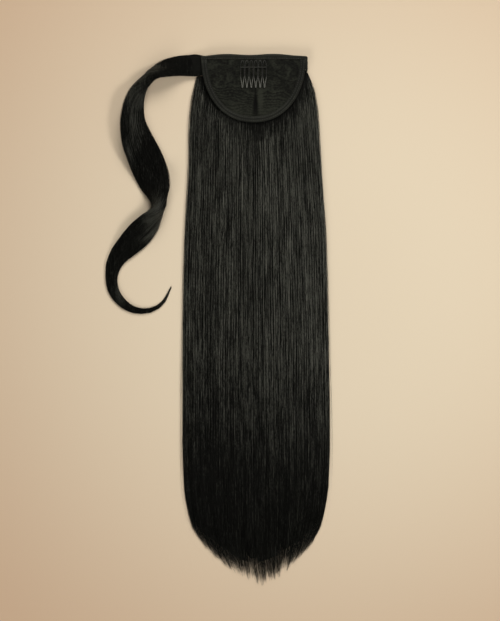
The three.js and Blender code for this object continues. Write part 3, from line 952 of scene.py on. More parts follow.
def net_material():
    """Doubled net: two fine weaves, and the wavy bands that they make together."""
    settings = bpy.context.scene.hairpiece_pad
    material, graph = new_material("doubled net")
    place = graph.place()
    across, up, _ = graph.split(place)
    turns = 2 * math.pi / settings.weave_pitch

    def ripple(value):
        return graph.maths("SINE", value)

    weave = ripple(across * turns) * ripple(up * turns) * 0.5 + 0.5
    lower = graph.smooth(up, -0.012, 0.012, 1.0, 0.12)
    bend = graph.noise(place * graph.vector(34.0, 44.0, 0.0), detail=1.0)
    swirl = graph.noise(place * graph.vector(120.0, 140.0, 0.0), detail=2.0)
    grain = up * lower / settings.grain_pitch + bend * 6.0 + swirl * 1.2
    bands = ripple(grain * (2 * math.pi)) * 0.5 + 0.5
    patches = graph.noise(place * graph.vector(60.0, 90.0, 0.0), detail=2.0)
    specks = graph.noise(place * graph.vector(420.0, 760.0, 0.0), detail=2.0)
    shade = bands * (patches * 0.6 - 0.08) + weave * 0.1 + (specks - 0.5) * 0.9 + patches * 0.3
    # crest is a painted highlight on the raised cloth right of the dart.
    shade = shade + graph.attribute("crest") * 0.5
    shade = shade + graph.smooth(up, -0.03, -0.005, 0.32, 0.1)
    shade = graph.smooth(shade, 0.12, 0.88)
    colour = graph.mix(shade, tint(settings.net_colour, 0.2), tint(settings.net_colour, 2.6))
    # fold is painted shade, darkening the net to black in the dart's seam.
    inputs = {
        "Base Color": graph.mix(graph.attribute("fold"), colour, (0.0, 0.0, 0.0)),
        "Roughness": 0.78 + weave * 0.12,
        "Specular IOR Level": 0.12,
        "Sheen Weight": 0.03,
    }
    relief = {"Strength": 0.35, "Distance": 0.2 * MM, "Height": weave + bands * 0.6}
    return paint(material, graph, inputs, relief)


def tape_material():
    """Ribbed tape: fine cords across its length, and a soft unevenness along it."""
    settings = bpy.context.scene.hairpiece_pad
    material, graph = new_material("ribbed tape")
    place = graph.place()
    around, along, _ = graph.split(graph.uv())
    ribs = graph.maths("SINE", along * (2 * math.pi * 250.0)) * 0.5 + 0.5
    patches = graph.noise(place, scale=260.0, detail=3.0, roughness=0.6)
    broad = graph.noise(place, scale=50.0, detail=2.0)
    shade = graph.smooth(ribs * 0.25 + patches * 0.7 + broad * 0.35, 0.3, 0.95)
    _, height, _ = graph.split(place)
    # Lighter at the foot of the pad's curve and much lighter on the straight band, darker along
    # the pad's sides.
    dim = graph.smooth(height, -0.024, 0.0, 1.2, 0.55)
    shade = shade * (dim + graph.smooth(height, 0.024, 0.031, 0.0, 0.95))
    seam = graph.maths("ABSOLUTE", around - 0.4)
    shade = shade * graph.smooth(seam, 0.03, 0.11, 0.25, 1.0)
    colour = graph.mix(shade, tint(settings.tape_colour, 0.35), tint(settings.tape_colour, 1.7))
    inputs = {
        "Base Color": colour,
        "Roughness": 0.85 - shade * 0.15,
        "Specular IOR Level": 0.25,
    }
    relief = {"Strength": 0.4, "Distance": 0.15 * MM, "Height": ribs + patches}
    return paint(material, graph, inputs, relief)


def thread_material():
    """Sewing thread: slightly shiny, with a ply that shows as fine slanting lines."""
    thread = bpy.context.scene.hairpiece_pad.thread_colour
    material, graph = new_material("sewing thread")
    place = graph.place()
    ply = graph.noise(place, scale=2600.0, detail=2.0)
    broad = graph.noise(place, scale=120.0, detail=1.0)
    shade = graph.smooth(ply * 0.6 + broad * 0.5, 0.3, 0.8)
    colour = graph.mix(shade, tint(thread, 0.6), tint(thread, 1.35))
    return paint(material, graph, {"Base Color": colour, "Roughness": 0.6 - ply * 0.15})


def wire_material():
    """Lacquered wire: dark and glossy, with random worn spots where the lacquer is thin, and
    painted glints, lighter and more metallic, at the tooth tips and on the loops over the spine.
    """
    settings = bpy.context.scene.hairpiece_comb
    material, graph = new_material("lacquered wire")
    place = graph.place()
    _, height, _ = graph.split(place)
    wear = graph.noise(place, scale=420.0, detail=4.0, roughness=0.65)
    # Painted glints at the tooth tips and on the loops over the spine, added to the random wear.
    tips = graph.smooth(height, 0.006, 0.014, 1.0, 0.0)
    tips = tips + graph.smooth(height, 0.0265, 0.0285, 0.0, 0.16)
    wear_and_painted_glint = graph.smooth(wear, 0.5, 0.72) * 0.2 + tips * (0.25 + wear * 0.6)
    inputs = {
        "Base Color": graph.mix(wear_and_painted_glint, settings.wire_colour, (0.3, 0.3, 0.28)),
        "Roughness": 0.36 + wear * 0.12,
        "Metallic": wear_and_painted_glint * 0.8 + 0.08,
        "Specular IOR Level": 0.25,
    }
    return paint(material, graph, inputs)


def floor_material():
    """A plain pale floor, painted a little darker and warmer away from its middle as painted shade
    where the lamps' light falls off.
    """
    settings = bpy.context.scene.hairpiece_stage
    material, graph = new_material("pale floor")
    place = graph.place()
    cloud = graph.noise(place, scale=2.2, detail=2.0)
    away = graph.maths("LENGTH", place - (0.08, -0.2, 0.0)).other("Value")
    painted_shade = graph.smooth(away, 0.1, 0.62) * 1.18 + (cloud - 0.5) * 0.04
    colour = graph.mix(painted_shade, settings.floor_colour, settings.painted_floor_shade_colour)
    inputs = {"Base Color": colour, "Roughness": 0.9, "Specular IOR Level": 0.1}
    return paint(material, graph, inputs)


def shared(name, maker):
    """The material of that name, made the first time that it is asked for."""
    return bpy.data.materials.get(name) or maker()


def pad_share(y):
    """How far the pad has risen at y, from 0 along its band to 1 at the foot of its curve."""
    return np.clip((BAND_INNER - y) / (PAD_DROP - BAND_WIDTH), 0.0, 1.0)


def pad_reach(x, y):
    """How far out a point lies on the pad's plan: 1 on its outline, and more outside it."""
    across = np.abs(x) / PAD_HALF
    down = np.maximum(PAD_TOP - y, 0.0) / PAD_DROP
    return (across**PAD_ROUNDNESS + down**PAD_ROUNDNESS) ** (1 / PAD_ROUNDNESS)


def fall_sides(distance):
    """The fall's left side, right side and depth at a distance below the straight edge."""
    rows = np.array(FALL_ROWS)
    share = distance / FALL_LENGTH
    left = -FALL_HALF_WIDTH * np.interp(share, rows[:, 0], rows[:, 1])
    right = FALL_HALF_WIDTH * np.interp(share, rows[:, 0], rows[:, 2])
    depth = FALL_DEPTH * np.interp(share, rows[:, 0], rows[:, 3])
    return left, right, depth


PAD_SEAT = float(fall_sides(np.array(PAD_DROP))[2])


def hair_depth(distance):
    """The hair's depth in the middle of the fall, where it also carries the pad."""
    under = lerp(ROOT_DEPTH, PAD_SEAT, smooth_step(pad_share(PAD_TOP - distance)))
    return np.where(distance > PAD_DROP, fall_sides(distance)[2], under)


def root_drop(out):
    """How far down the hair starts: high in the middle, lower at the sides."""
    wrap_edge = PAD_TOP - WRAP_ROOT_DROP - 0.68 * WRAP_WIDTH / 2
    side = np.where(out < 0, PAD_TOP - wrap_edge + CLEARANCE, SIDE_ROOT_DROP)
    share = np.clip((np.abs(out) - ROOT_SPREAD) / (0.8 - ROOT_SPREAD), 0.0, 1.0)
    return lerp(MIDDLE_ROOT_DROP, side, share)


def end_share(distance):
    """How much of the fall's half width is left at a distance below the straight edge."""
    rows = np.array(END_ROWS)
    return np.interp(distance, rows[:, 0], rows[:, 1])


def end_distance(out):
    """Where the longest hairs end: at the outline, which they lean in to meet, or just past it."""
    rows = np.array(END_ROWS)[::-1]
    reach = TIP_PAST * (0.65 + 0.35 * smooth_step(np.abs(out) / 0.35))
    past = 0.02 + 0.014 * np.abs(out) ** 4
    lost = (1 + past - np.abs(out)) / (1 - TIP_LEAN * np.abs(out) ** 2.2)
    return np.interp(1 - lost, rows[:, 1], rows[:, 0]) + reach


def fall_surface(out, share, inset=0.0):
    """Points of the fall's upper surface, at a share of its width and of its length."""
    root = root_drop(out)
    end = end_distance(out)
    distance = root + share * (end - root)
    left, right, _ = fall_sides(distance)
    lost = 1 - end_share(distance)
    half = (right - left) / 2 - inset
    lean = TIP_LEAN * np.abs(out) ** 2.2 * lost
    x = (left + right) / 2 + half * np.sign(out) * (np.abs(out) - lean)
    x = x + TIP_SHIFT * lost**2
    y = PAD_TOP - distance
    full = hair_depth(distance) * (1 - (1 - SIDE_DEPTH_SHARE) * np.abs(out) ** 4) * EVENNESS
    ended = np.clip((distance - THINNING_START) / (end - THINNING_START), 0.0, 1.0)
    depth = lerp(full, TIP_DEPTH, ended**2)
    outside = pad_reach(x, y) - 1
    near_pad = np.clip(1 - outside / 0.16, 0.0, 1.0) * (outside > -0.02)
    depth = depth - 1.6 * smooth_step(near_pad) * (1 - np.abs(out) ** 3)
    ridges = np.sin(2 * np.pi * (out * 8.3 + 0.22 * np.sin(5.1 * share + 3 * out)) + 1.1)
    ridges = ridges + 0.6 * np.sin(2 * np.pi * (out * 19.7 + 0.3 * np.sin(7.3 * share)) + 4.0)
    depth = depth + 0.2 * (ridges - 1.2) * smooth_step(outside / 0.4)
    return x, y, np.maximum(depth - inset, 0.4)


def fall_room(x, y):
    """0 under the pad and just outside its edge, and 1 where the hair lies free."""
    return smooth_step((pad_reach(x, y) - 1.02) / 0.3)


def painted_fall_light(x, y):
    """Painted shade where the hair comes out from under the pad, in the middle and on the right,
    and a little lighter towards the right.
    """
    outside = pad_reach(x, y) - 1
    side = 0.4 + 0.6 * smooth_step((x + 22) / 24)
    reach = 0.14 + 0.12 * smooth_step((x - 10) / 20)
    slope = 1 + 0.1 * np.clip(x / 50, -1.0, 1.0)
    return slope * (1 - side * (1 - smooth_step(outside / reach)))


def fall_guide(columns=150, rows=130):
    """The surface that the fall's strands follow. It turns down at both sides."""
    share = np.linspace(0.0, 1.0, rows)[:, None]
    across = np.linspace(-1.0, 1.0, columns)[None, :]
    flat = 0.9
    turn = np.clip((np.abs(across) - flat) / (1 - flat), 0.0, 1.0) * np.pi / 2
    side = np.where(
        np.abs(across) < flat, np.abs(across) / flat * 0.965, 0.965 + 0.03 * np.sin(turn)
    )
    out = np.sign(across) * side + 0 * share
    x, y, depth = fall_surface(out, share)
    depth = lerp(0.5, depth, np.cos(turn) ** 0.7 + 0 * share)
    rings = np.stack([x, y, depth], axis=-1)[:, ::-1]
    points, faces, corners = skin(rings, closed=False)
    plan = points.T[:2]
    # light is painted light: painted shade where the hair comes out from under the pad.
    kept = {"room": fall_room(*plan), "light": painted_fall_light(*plan)}
    return mesh_piece("fall_guide", points, faces, corners, attributes=kept)


def fall_core(columns=120, rows=96):
    """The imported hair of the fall, closed and flat below, a little inside the strands."""
    across = np.linspace(-1.0, 1.0, columns)[None, :]
    out = np.sign(across) * (1 - (1 - np.abs(across)) ** 1.25)
    ragged = np.sin(out * 31.0) + np.sin(out * 73.0 + 2.0) + np.sin(out * 139.0 + 1.0)
    share = np.linspace(0.0, 1.0, rows)[:, None]
    share = share * (CORE_LENGTH - CORE_SIDE_LOSS * out**2 + CORE_RAGGEDNESS * ragged)
    out = out + 0 * share
    x, y, depth = fall_surface(out, share, inset=0.9)
    edge = np.sqrt(np.clip((1 - np.abs(out)) / 0.03, 0.0, 1.0))
    depth = lerp(0.5, depth - 0.5, edge)
    thin = np.clip((share - 0.85) / 0.1, 0.0, 1.0)
    depth = lerp(depth, 0.3, smooth_step(thin))
    top = np.stack([x, y, depth], axis=-1)
    low = top[:, ::-1].copy()
    low[..., 2] = 0.0
    rings = np.concatenate([top, low], axis=1)
    return skin(rings)


def pad_outline(inset, steps, top=PAD_TOP):
    """The pad's curve from its left end to its right end, drawn in by an inset."""
    start = math.asin(((PAD_TOP - top) / (PAD_DROP - inset)) ** (PAD_ROUNDNESS / 2))
    angle = np.linspace(start, math.pi - start, steps)
    across = np.cos(angle)
    x = -(PAD_HALF - inset) * np.sign(across) * np.abs(across) ** (2 / PAD_ROUNDNESS)
    y = PAD_TOP - (PAD_DROP - inset) * np.sin(angle) ** (2 / PAD_ROUNDNESS)
    return np.stack([x, y], axis=-1)


def weft_stack():
    """The wefts sewn under the pad: one on another, each with a rounded edge."""
    layers = 5
    outline = pad_outline(WEFT_SIDE_INSET, 90, PAD_TOP - WEFT_TOP_INSET)
    middle = outline.mean(axis=0)
    rings = []
    steps = 6
    for layer in range(layers):
        for step in range(steps):
            turn = math.pi * (step + 0.5) / steps
            height = (layer + 0.5 - 0.5 * math.cos(turn)) * (ROOT_DEPTH - 0.1) / layers
            inset = 0.8 * (1 - math.sin(turn))
            away = unit(middle - outline) * inset
            ring = np.column_stack([outline + away, np.full(len(outline), height)])
            rings.append(ring)
    return skin(np.array(rings))


def painted_wrap_light(x, y):
    """Painted light on the wrap lock: painted highlights where its faces catch the light, along
    its outer bend and past its twist, and painted shade where a strength is below zero.
    """
    light = 0.36 + 0 * x
    for middle_x, middle_y, wide, high, strength in PAINTED_WRAP_LIGHT:
        away = ((x - middle_x) / wide) ** 2 + ((y - middle_y) / high) ** 2
        light = light + strength * np.exp(-away)
    return light


def wrap_rings(steps, sides, swell=0.0):
    """Rings of the wrap lock, which turns over as it goes and rests on the surface."""
    rows = np.array(WRAP_ROWS)
    shares = np.linspace(0.0, 1.0, steps)
    route_points = rows[:, [0, 1, 5]]
    form_points = rows[:, [2, 3, 4]]
    route = curve_through(route_points, shares)
    form = curve_through(form_points, shares)

    def plan(values):
        x = -PAD_HALF - values[:, 0] * WRAP_REACH
        y = PAD_TOP - WRAP_ROOT_DROP - values[:, 1] * WRAP_DROP
        return np.stack([x, y], axis=-1)

    nudge = 0.004
    before = plan(curve_through(route_points, np.maximum(shares - nudge, 0)))
    after = plan(curve_through(route_points, np.minimum(shares + nudge, 1)))
    along = unit(after - before)
    place = plan(route)
    angle = np.linspace(0, 2 * math.pi, sides, endpoint=False) - math.pi / 2
    rings = []
    for i in range(steps):
        width, thick, turn = form[i]
        slim = 1 - 0.22 * smooth_step(np.array((shares[i] - 0.8) / 0.1))
        half_width = max(slim * width * WRAP_WIDTH / 2 + swell, 0.15)
        half_thick = max(slim * thick * WRAP_THICKNESS / 2 + swell, 0.15)
        turn = math.radians(turn)
        side = np.array([-along[i][1], along[i][0], 0.0])
        up = np.array([0.0, 0.0, 1.0])
        wide = side * math.cos(turn) + up * math.sin(turn)
        deep = up * math.cos(turn) - side * math.sin(turn)
        flute = 1 - WRAP_FLUTE_DEPTH * (1 - np.cos(WRAP_FLUTES * angle)) * 0.5
        across = np.cos(angle)[:, None] * half_width * wide
        height = (np.sin(angle) * flute)[:, None] * half_thick * deep
        ring = np.array([*place[i], 0.0]) + across + height
        low = ring[:, 2].min()
        high = ring[:, 2].max()
        seat = min(max(route[i][2], 0.0), 1.0)
        ring[:, 2] += seat * max(0.0, ROOT_DEPTH - (high - low)) - low
        rings.append(ring)
    rings = np.array(rings)
    rings[..., 2] += 0.15
    return rings, shares


def net_under(x, y):
    """Height of the net's underside: it lies on the hair, with a low crown in the middle."""
    share = pad_share(y)
    crown = np.sin(math.pi * share) * np.maximum(0.0, 1 - (x / PAD_HALF) ** 2)
    return CLEARANCE + lerp(ROOT_DEPTH, PAD_SEAT, smooth_step(share)) + PAD_CROWN * crown


def band_level():
    """Height of the hair under the straight band."""
    return float(net_under(np.array(0.0), np.array(PAD_TOP)))


def dart_lift(x, y):
    """How far the dart's two lips lift the net. The seam between them stays down."""
    down = np.clip((PAD_TOP - DART_START - y) / DART_LENGTH, 0.0, 1.0)
    across = np.clip(np.abs(x - DART_X) / DART_LIP_WIDTH, 0.0, 1.0)
    lip = np.where(x < DART_X, DART_LIPS[0], DART_LIPS[1]) * (1 - across) ** 1.3
    return (lip * smooth_step(across / 0.2) - 0.3) * np.sin(math.pi * np.sqrt(down))


def painted_dart_shade(x, y):
    """1 in the dart's seam, and 0 away from it: painted shade in the seam's crease."""
    down = np.clip((PAD_TOP - DART_START - y + 3) / (DART_LENGTH + 6), 0.0, 1.0)
    width = 0.5 + 2.6 * smooth_step(down / 0.8)
    return np.exp(-(((x - DART_X + 0.6) / width) ** 4)) * np.sin(math.pi * down) ** 0.3


def painted_dart_highlight(x, y):
    """1 on the raised cloth to the right of the dart, and 0 away from it: a painted highlight."""
    return np.exp(-(((x - DART_X - 5.0) / 2.8) ** 2) - ((y + 11.0) / 9.0) ** 2)


def net_top(x, y):
    return net_under(x, y) + NET_THICKNESS + dart_lift(x, y)


def edge_y(x):
    """The pad's straight edge, which waves a little and falls at its corners."""
    wave = EDGE_WAVE * np.cos(2 * math.pi * (x - EDGE_WAVE_PEAK) / EDGE_WAVE_PITCH)
    return PAD_TOP + wave - CORNER_FALL * np.minimum(1.0, np.abs(x) / PAD_HALF) ** 4


def net_wall(thickness):
    """The net as one domed wall, cut to the pad's outline inside its tapes."""
    inset = BINDING_THICKNESS + CLEARANCE
    angles = np.linspace(0.02, math.pi / 2 - 0.02, 70)[:, None]
    share = np.linspace(-1.0, 1.0, 121)[None, :]
    half = (PAD_HALF - inset) * np.cos(angles) ** (2 / PAD_ROUNDNESS)
    x = share * half
    y = PAD_TOP - (PAD_DROP - inset) * np.sin(angles) ** (2 / PAD_ROUNDNESS) + 0 * x
    edge = edge_y(x) - BAND_THICKNESS - CLEARANCE
    y = np.where(y > BAND_INNER, lerp(edge, BAND_INNER, (y[0] - y) / (y[0] - BAND_INNER)), y)
    top = np.stack([x, y, net_top(x, y) - 0.02], axis=-1)[:, ::-1]
    under = top.copy()
    under[..., 2] -= thickness / MM
    rows, columns = x.shape
    points, faces, _ = skin(top, closed=False)
    lower, lower_faces, _ = skin(under, closed=False)
    count = len(points)
    faces = faces + [tuple(index + count for index in reversed(face)) for face in lower_faces]
    rim = [(0, c) for c in range(columns)]
    rim += [(r, columns - 1) for r in range(1, rows)]
    rim += [(rows - 1, c) for c in range(columns - 2, -1, -1)]
    rim += [(r, 0) for r in range(rows - 2, 0, -1)]
    ids = [r * columns + c for r, c in rim]
    for first, second in zip(ids, ids[1:] + ids[:1]):
        faces.append((second, first, first + count, second + count))
    points = np.vstack([points, lower])
    if signed_volume(points, faces) < 0:
        faces = [tuple(reversed(face)) for face in faces]
    return points, faces


def tape_profile(width, thickness, ridges):
    """A soft tape's section: over the edge, across the net, and back underneath.

    Each point is (across, up): inwards from the edge is below zero, and up is from the net.
    """
    top = NET_THICKNESS + CLEARANCE + thickness
    across = np.linspace(0.0, -width, 26)
    shoulder = np.sqrt(np.clip(1 - (1 + across / 1.3).clip(0, 1) ** 2, 0, 1))
    up = lerp(top - 1.1, top, shoulder)
    for middle in ridges:
        up = up - 0.16 * np.exp(-(((across + middle) / 0.5) ** 2))
    end = np.clip((across + width) / 2.2, 0, 1)
    up = lerp(top - thickness * 0.85, up, smooth_step(end))
    over = list(zip(across, up))
    back = [(-width + 0.15, top - thickness), (-thickness, top - thickness), (-thickness, 0.05)]
    down = [(-thickness * 0.5, 0.0), (0.0, 0.15), (0.02, (top - 1.1) / 2)]
    return np.array(over + back + down)


def binding_rings(profile, steps):
    """The binding's section carried round the pad's curve."""
    curve = pad_outline(0.0, steps, BAND_INNER - CLEARANCE)
    along = unit(np.gradient(curve, axis=0))
    outwards = np.stack([along[:, 1], -along[:, 0]], axis=-1)
    outwards[0] = (-1.0, 0.0)
    outwards[-1] = (1.0, 0.0)
    rings = []
    for point, way in zip(curve, outwards):
        spots = point[None, :] + profile[:, :1] * way[None, :]
        heights = net_under(spots[:, 0], spots[:, 1]) + profile[:, 1]
        rings.append(np.column_stack([spots, heights]))
    return np.array(rings)


def band_rings(profile, steps):
    """The straight band's section, whose outer edge waves and whose inner edge is straight."""
    rings = []
    for x in np.linspace(-PAD_HALF, PAD_HALF + CLEARANCE, steps):
        outer = float(edge_y(np.array(x)))
        share = -profile[:, 0] / BAND_WIDTH
        y = lerp(outer, BAND_INNER, np.clip(share, 0, 1))
        rings.append(np.column_stack([np.full(len(y), x), y, band_level() + profile[:, 1]]))
    return np.array(rings)


def band_tab():
    """The band's right-hand end, folded over and turned down the pad's side."""
    right = PAD_HALF + CLEARANCE + BAND_TURN_WIDTH / 2 - 0.7
    height = NET_THICKNESS + CLEARANCE + BAND_THICKNESS
    top = float(edge_y(np.array(right))) - 0.4
    angle = np.linspace(0, 2 * math.pi, 20, endpoint=False)
    rings = []
    for share in np.linspace(0.0, 1.0, 30):
        end = math.sqrt(max(0.0, 1 - abs(2 * share - 1) ** 8))
        fold = 1 + 0.08 * math.sin(19 * share) + 0.05 * math.sin(41 * share)
        across = np.sign(np.cos(angle)) * np.abs(np.cos(angle)) ** 0.6
        up = np.sign(np.sin(angle)) * np.abs(np.sin(angle)) ** 0.6
        size = 0.25 + 0.75 * end
        x = right + across * (BAND_TURN_WIDTH / 2 + 0.5) * size * fold
        z = band_level() + height / 2 + up * height / 2 * size
        y = np.full(len(x), top - share * (BAND_TURN_LENGTH + 4.0))
        rings.append(np.column_stack([x, y, z]))
    return np.array(rings)


def comb_paths():
    """Paths of the comb's wires: each tooth's hairpin, its loop over the spine, and the spine."""
    tip_y = BAND_INNER - COMB_TOP_GAP - COMB_LENGTH
    spine_y = tip_y + SPINE_SHARE * COMB_LENGTH
    spine_z = float(net_top(np.array(0.0), np.array(spine_y))) + CLEARANCE + SPINE_RADIUS

    def on_net(x, up, lift=0.0):
        y = tip_y + up * COMB_LENGTH
        height = float(net_top(np.array(x), np.array(y)))
        return (x, y, height + CLEARANCE + WIRE_RADIUS + lift * COMB_ARCH)

    half = TOOTH_SPREAD / 2
    paths = []
    for tooth in range(COMB_TEETH):
        x = (tooth - (COMB_TEETH - 1) / 2) * COMB_PITCH
        ends = [(x + side * half * 0.9, spine_y, spine_z) for side in (-1, 1)]
        left = [on_net(x - spread * half, up, lift) for up, spread, lift in TOOTH_LEG]
        right = [on_net(x + spread * half, up, lift) for up, spread, lift in TOOTH_LEG]
        tip = on_net(x, WIRE_RADIUS / COMB_LENGTH)
        pin = [ends[0], *left[::-1], tip, *right, ends[1]]
        paths.append(curve_through(pin, np.linspace(0, 1, 49)))
        rise = [on_net(x - spread * half, up) for up, spread in TOOTH_LOOP]
        fall = [on_net(x + spread * half, up) for up, spread in TOOTH_LOOP]
        crest = on_net(x, 1 - WIRE_RADIUS / COMB_LENGTH)
        loop = [ends[0], *rise, crest, *fall[::-1], ends[1]]
        paths.append(curve_through(loop, np.linspace(0, 1, 22)))
    reach = ((COMB_TEETH - 1) * COMB_PITCH + TOOTH_SPREAD) / 2
    spine = np.array([(x, spine_y, spine_z) for x in np.linspace(-reach, reach, 12)])
    return paths, spine


def plenty(count):
    """A count of strands, as a whole number."""
    return int(count)


def grow_strands(common, layers):
    """Grows layers of strands on one guide, and then takes the guide away."""
    tree = bpy.data.node_groups.get("Strands on a guide") or strand_tree()
    for name, changes in layers.items():
        finish_piece(grow(name, tree, {**STRAND_NUMBERS, **common, **changes}), "hair")
    bpy.data.objects.remove(common["Guide"])


class HAIRPIECE_OT_stage(bpy.types.Operator):
    """Lay the floor, set the lights and aim the camera"""

    bl_idname = "hairpiece.stage"
    bl_label = "Stage"

    def execute(self, context):
        settings = context.scene.hairpiece_stage
        corners = ((-1, -1), (1, -1), (1, 1), (-1, 1))
        points = [(x * FLOOR_HALF, y * FLOOR_HALF, -0.1) for x, y in corners]
        pale = shared("pale floor", floor_material)
        mesh_piece("floor", points, [(0, 1, 2, 3)], materials=[pale])
        for name, place, size, power in (
            ("key", (0.9, -0.125, 1.2), (0.44, 0.36), settings.key_power),
            ("fill_above", (0.2, 1.6, 1.7), (1.6, 1.2), settings.fill_power),
            ("fill_below", (-1.0, -2.1, 1.5), (1.4, 1.2), settings.low_fill_power),
        ):
            self.add_light(name, place, size, power)
        world = bpy.data.worlds.new("soft room")
        world.use_nodes = True
        back = world.node_tree.nodes["Background"]
        back.inputs["Color"].default_value = (*WARM_WHITE, 1.0)
        back.inputs["Strength"].default_value = 0.12
        context.scene.world = world
        self.add_camera(context, settings)
        context.scene.view_settings.view_transform = "Standard"
        return {"FINISHED"}

    def add_light(self, name, place, size, power):
        """A soft light at a place, aimed near the middle of the fall."""
        data = bpy.data.lights.new(name, "AREA")
        data.shape = "RECTANGLE"
        data.size, data.size_y = size
        data.energy = power
        data.color = WARM_WHITE
        light = link_object(name, data)
        light.location = place
        way = Vector((0.0, -0.2, 0.0)) - Vector(place)
        light.rotation_euler = way.to_track_quat("-Z", "Y").to_euler()

    def add_camera(self, context, settings):
        """A camera straight above that sees the photograph's frame."""
        width, height = FRAME_SIZE
        data = bpy.data.cameras.new("camera")
        data.sensor_fit = "VERTICAL"
        distance = settings.camera_height - SUBJECT_HEIGHT * MM
        data.lens = data.sensor_height * distance / (height * PIXEL * MM)
        camera = link_object("camera", data)
        camera.location = (
            (width / 2 - FRAME_ORIGIN[0]) * PIXEL * MM,
            (FRAME_ORIGIN[1] - height / 2) * PIXEL * MM,
            settings.camera_height,
        )
        context.scene.camera = camera


class HAIRPIECE_OT_fall(bpy.types.Operator):
    """Build the long fall: its packed core, its wefts and its strands"""

    bl_idname = "hairpiece.fall"
    bl_label = "Fall of hair"

    def execute(self, context):
        settings = context.scene.hairpiece_fall
        packed = [shared("packed hair", core_material)]
        core = mesh_piece("fall_core", *fall_core(), materials=packed)
        finish_piece(core, "hair", "hair_fall")
        finish_piece(mesh_piece("weft_stack", *weft_stack(), materials=packed), "hair")
        common = {
            "Guide": fall_guide(),
            "Thickness": settings.thickness,
            "Lock cut": 0.011,
            "Sway": settings.wander,
            "Flare": 1.2 * MM,
            "Seed": 11,
            "Material": shared("fall strands", strand_material),
        }
        layers = {
            "fall_strands_under": {
                "Strands": plenty(settings.strands * 1.3),
                "Points": 13,
                "End": 0.993,
                "End spread": 0.075,
                "Side cut": 0.015,
                "Material": shared("deep strands", deep_material),
            },
            "fall_strands_over": {
                "Strands": plenty(settings.strands * 0.65),
                "Points": 26,
                "Gather": 0.72,
                "Waves": 15.0,
                "Wave reach": 0.005,
                "End spread": 0.15,
                "Lift": 0.7 * MM,
                "Streaks": 15.0,
            },
            "fall_strands_short": {
                "Strands": plenty(settings.short_strands),
                "Points": 9,
                "Streaks": 15.0,
                "Start": 0.45,
                "Start spread": 0.3,
                "End spread": 0.34,
                "Gather": 0.72,
                "Lift": 0.6 * MM,
            },
            "fall_strands_loose": {
                "Strands": plenty(settings.loose_strands),
                "Seed": 37,
                "Points": 25,
                "Thickness": 0.2 * MM,
                "Locks": 20.0,
                "Gather": 0.0,
                "End spread": 0.6,
                "Lift": 2.0 * MM,
                "Sway": 0.03,
                "Stray": 0.03,
                "Flare": 8.0 * MM,
            },
        }
        grow_strands(common, layers)
        return {"FINISHED"}


class HAIRPIECE_OT_wrap(bpy.types.Operator):
    """Build the twisted wrap lock and its strands"""

    bl_idname = "hairpiece.wrap"
    bl_label = "Wrap lock"

    def execute(self, context):
        settings = context.scene.hairpiece_wrap
        packed = [shared("packed hair", core_material)]
        rings, shares = wrap_rings(120, 36, swell=-0.45)
        core = mesh_piece("wrap_core", *skin(rings[shares < 0.94]), materials=packed)
        finish_piece(core, "hair", "wrap_lock")
        sides = 48
        rings, shares = wrap_rings(150, sides)
        points, faces, corners = skin(rings, caps=False)
        # light is painted light: painted highlights and painted shade on the lock.
        kept = {
            "room": np.repeat(smooth_step((shares - 0.07) / 0.1), sides),
            "light": painted_wrap_light(*points.T[:2]),
        }
        common = {
            "Guide": mesh_piece("wrap_guide", points, faces, corners, attributes=kept),
            "Sink": 0.35 * MM,
            "Ripples": 12.0,
            "Heave": 0.3 * MM,
            "Wave reach": 0.01,
            "Streaks": 8.0,
            "Locks": 44.0,
            "Tip gather": 0.3,
            "Tip": 0.35,
            "Material": shared("wrap strands", wrap_material),
        }
        layers = {
            "wrap_strands": {
                "Strands": plenty(settings.strands),
                "Points": 38,
                "Thickness": settings.thickness,
                "End spread": 0.26,
                "Stray": 0.008,
                "Seed": 51,
            },
            "wrap_strands_loose": {
                "Strands": plenty(settings.loose_strands),
                "Points": 60,
                "Thickness": 0.2 * MM,
                "End spread": 0.5,
                "Lift": 1.4 * MM,
                "Sway": 0.06,
                "Stray": 0.06,
                "Gather": 0.0,
                "Seed": 63,
            },
        }
        grow_strands(common, layers)
        return {"FINISHED"}


class HAIRPIECE_OT_pad(bpy.types.Operator):
    """Build the domed net pad with its dart"""

    bl_idname = "hairpiece.pad"
    bl_label = "Net pad"

    def execute(self, context):
        settings = context.scene.hairpiece_pad
        points, faces = net_wall(settings.wall)
        # fold and crest are painted shade in the dart's seam and a painted highlight beside it.
        net = mesh_piece(
            "net_pad",
            points,
            faces,
            materials=[shared("doubled net", net_material)],
            attributes={"fold": painted_dart_shade(*points.T[:2]), "crest": painted_dart_highlight(*points.T[:2])},
        )
        finish_piece(net, "netting", "pad_net")
        return {"FINISHED"}


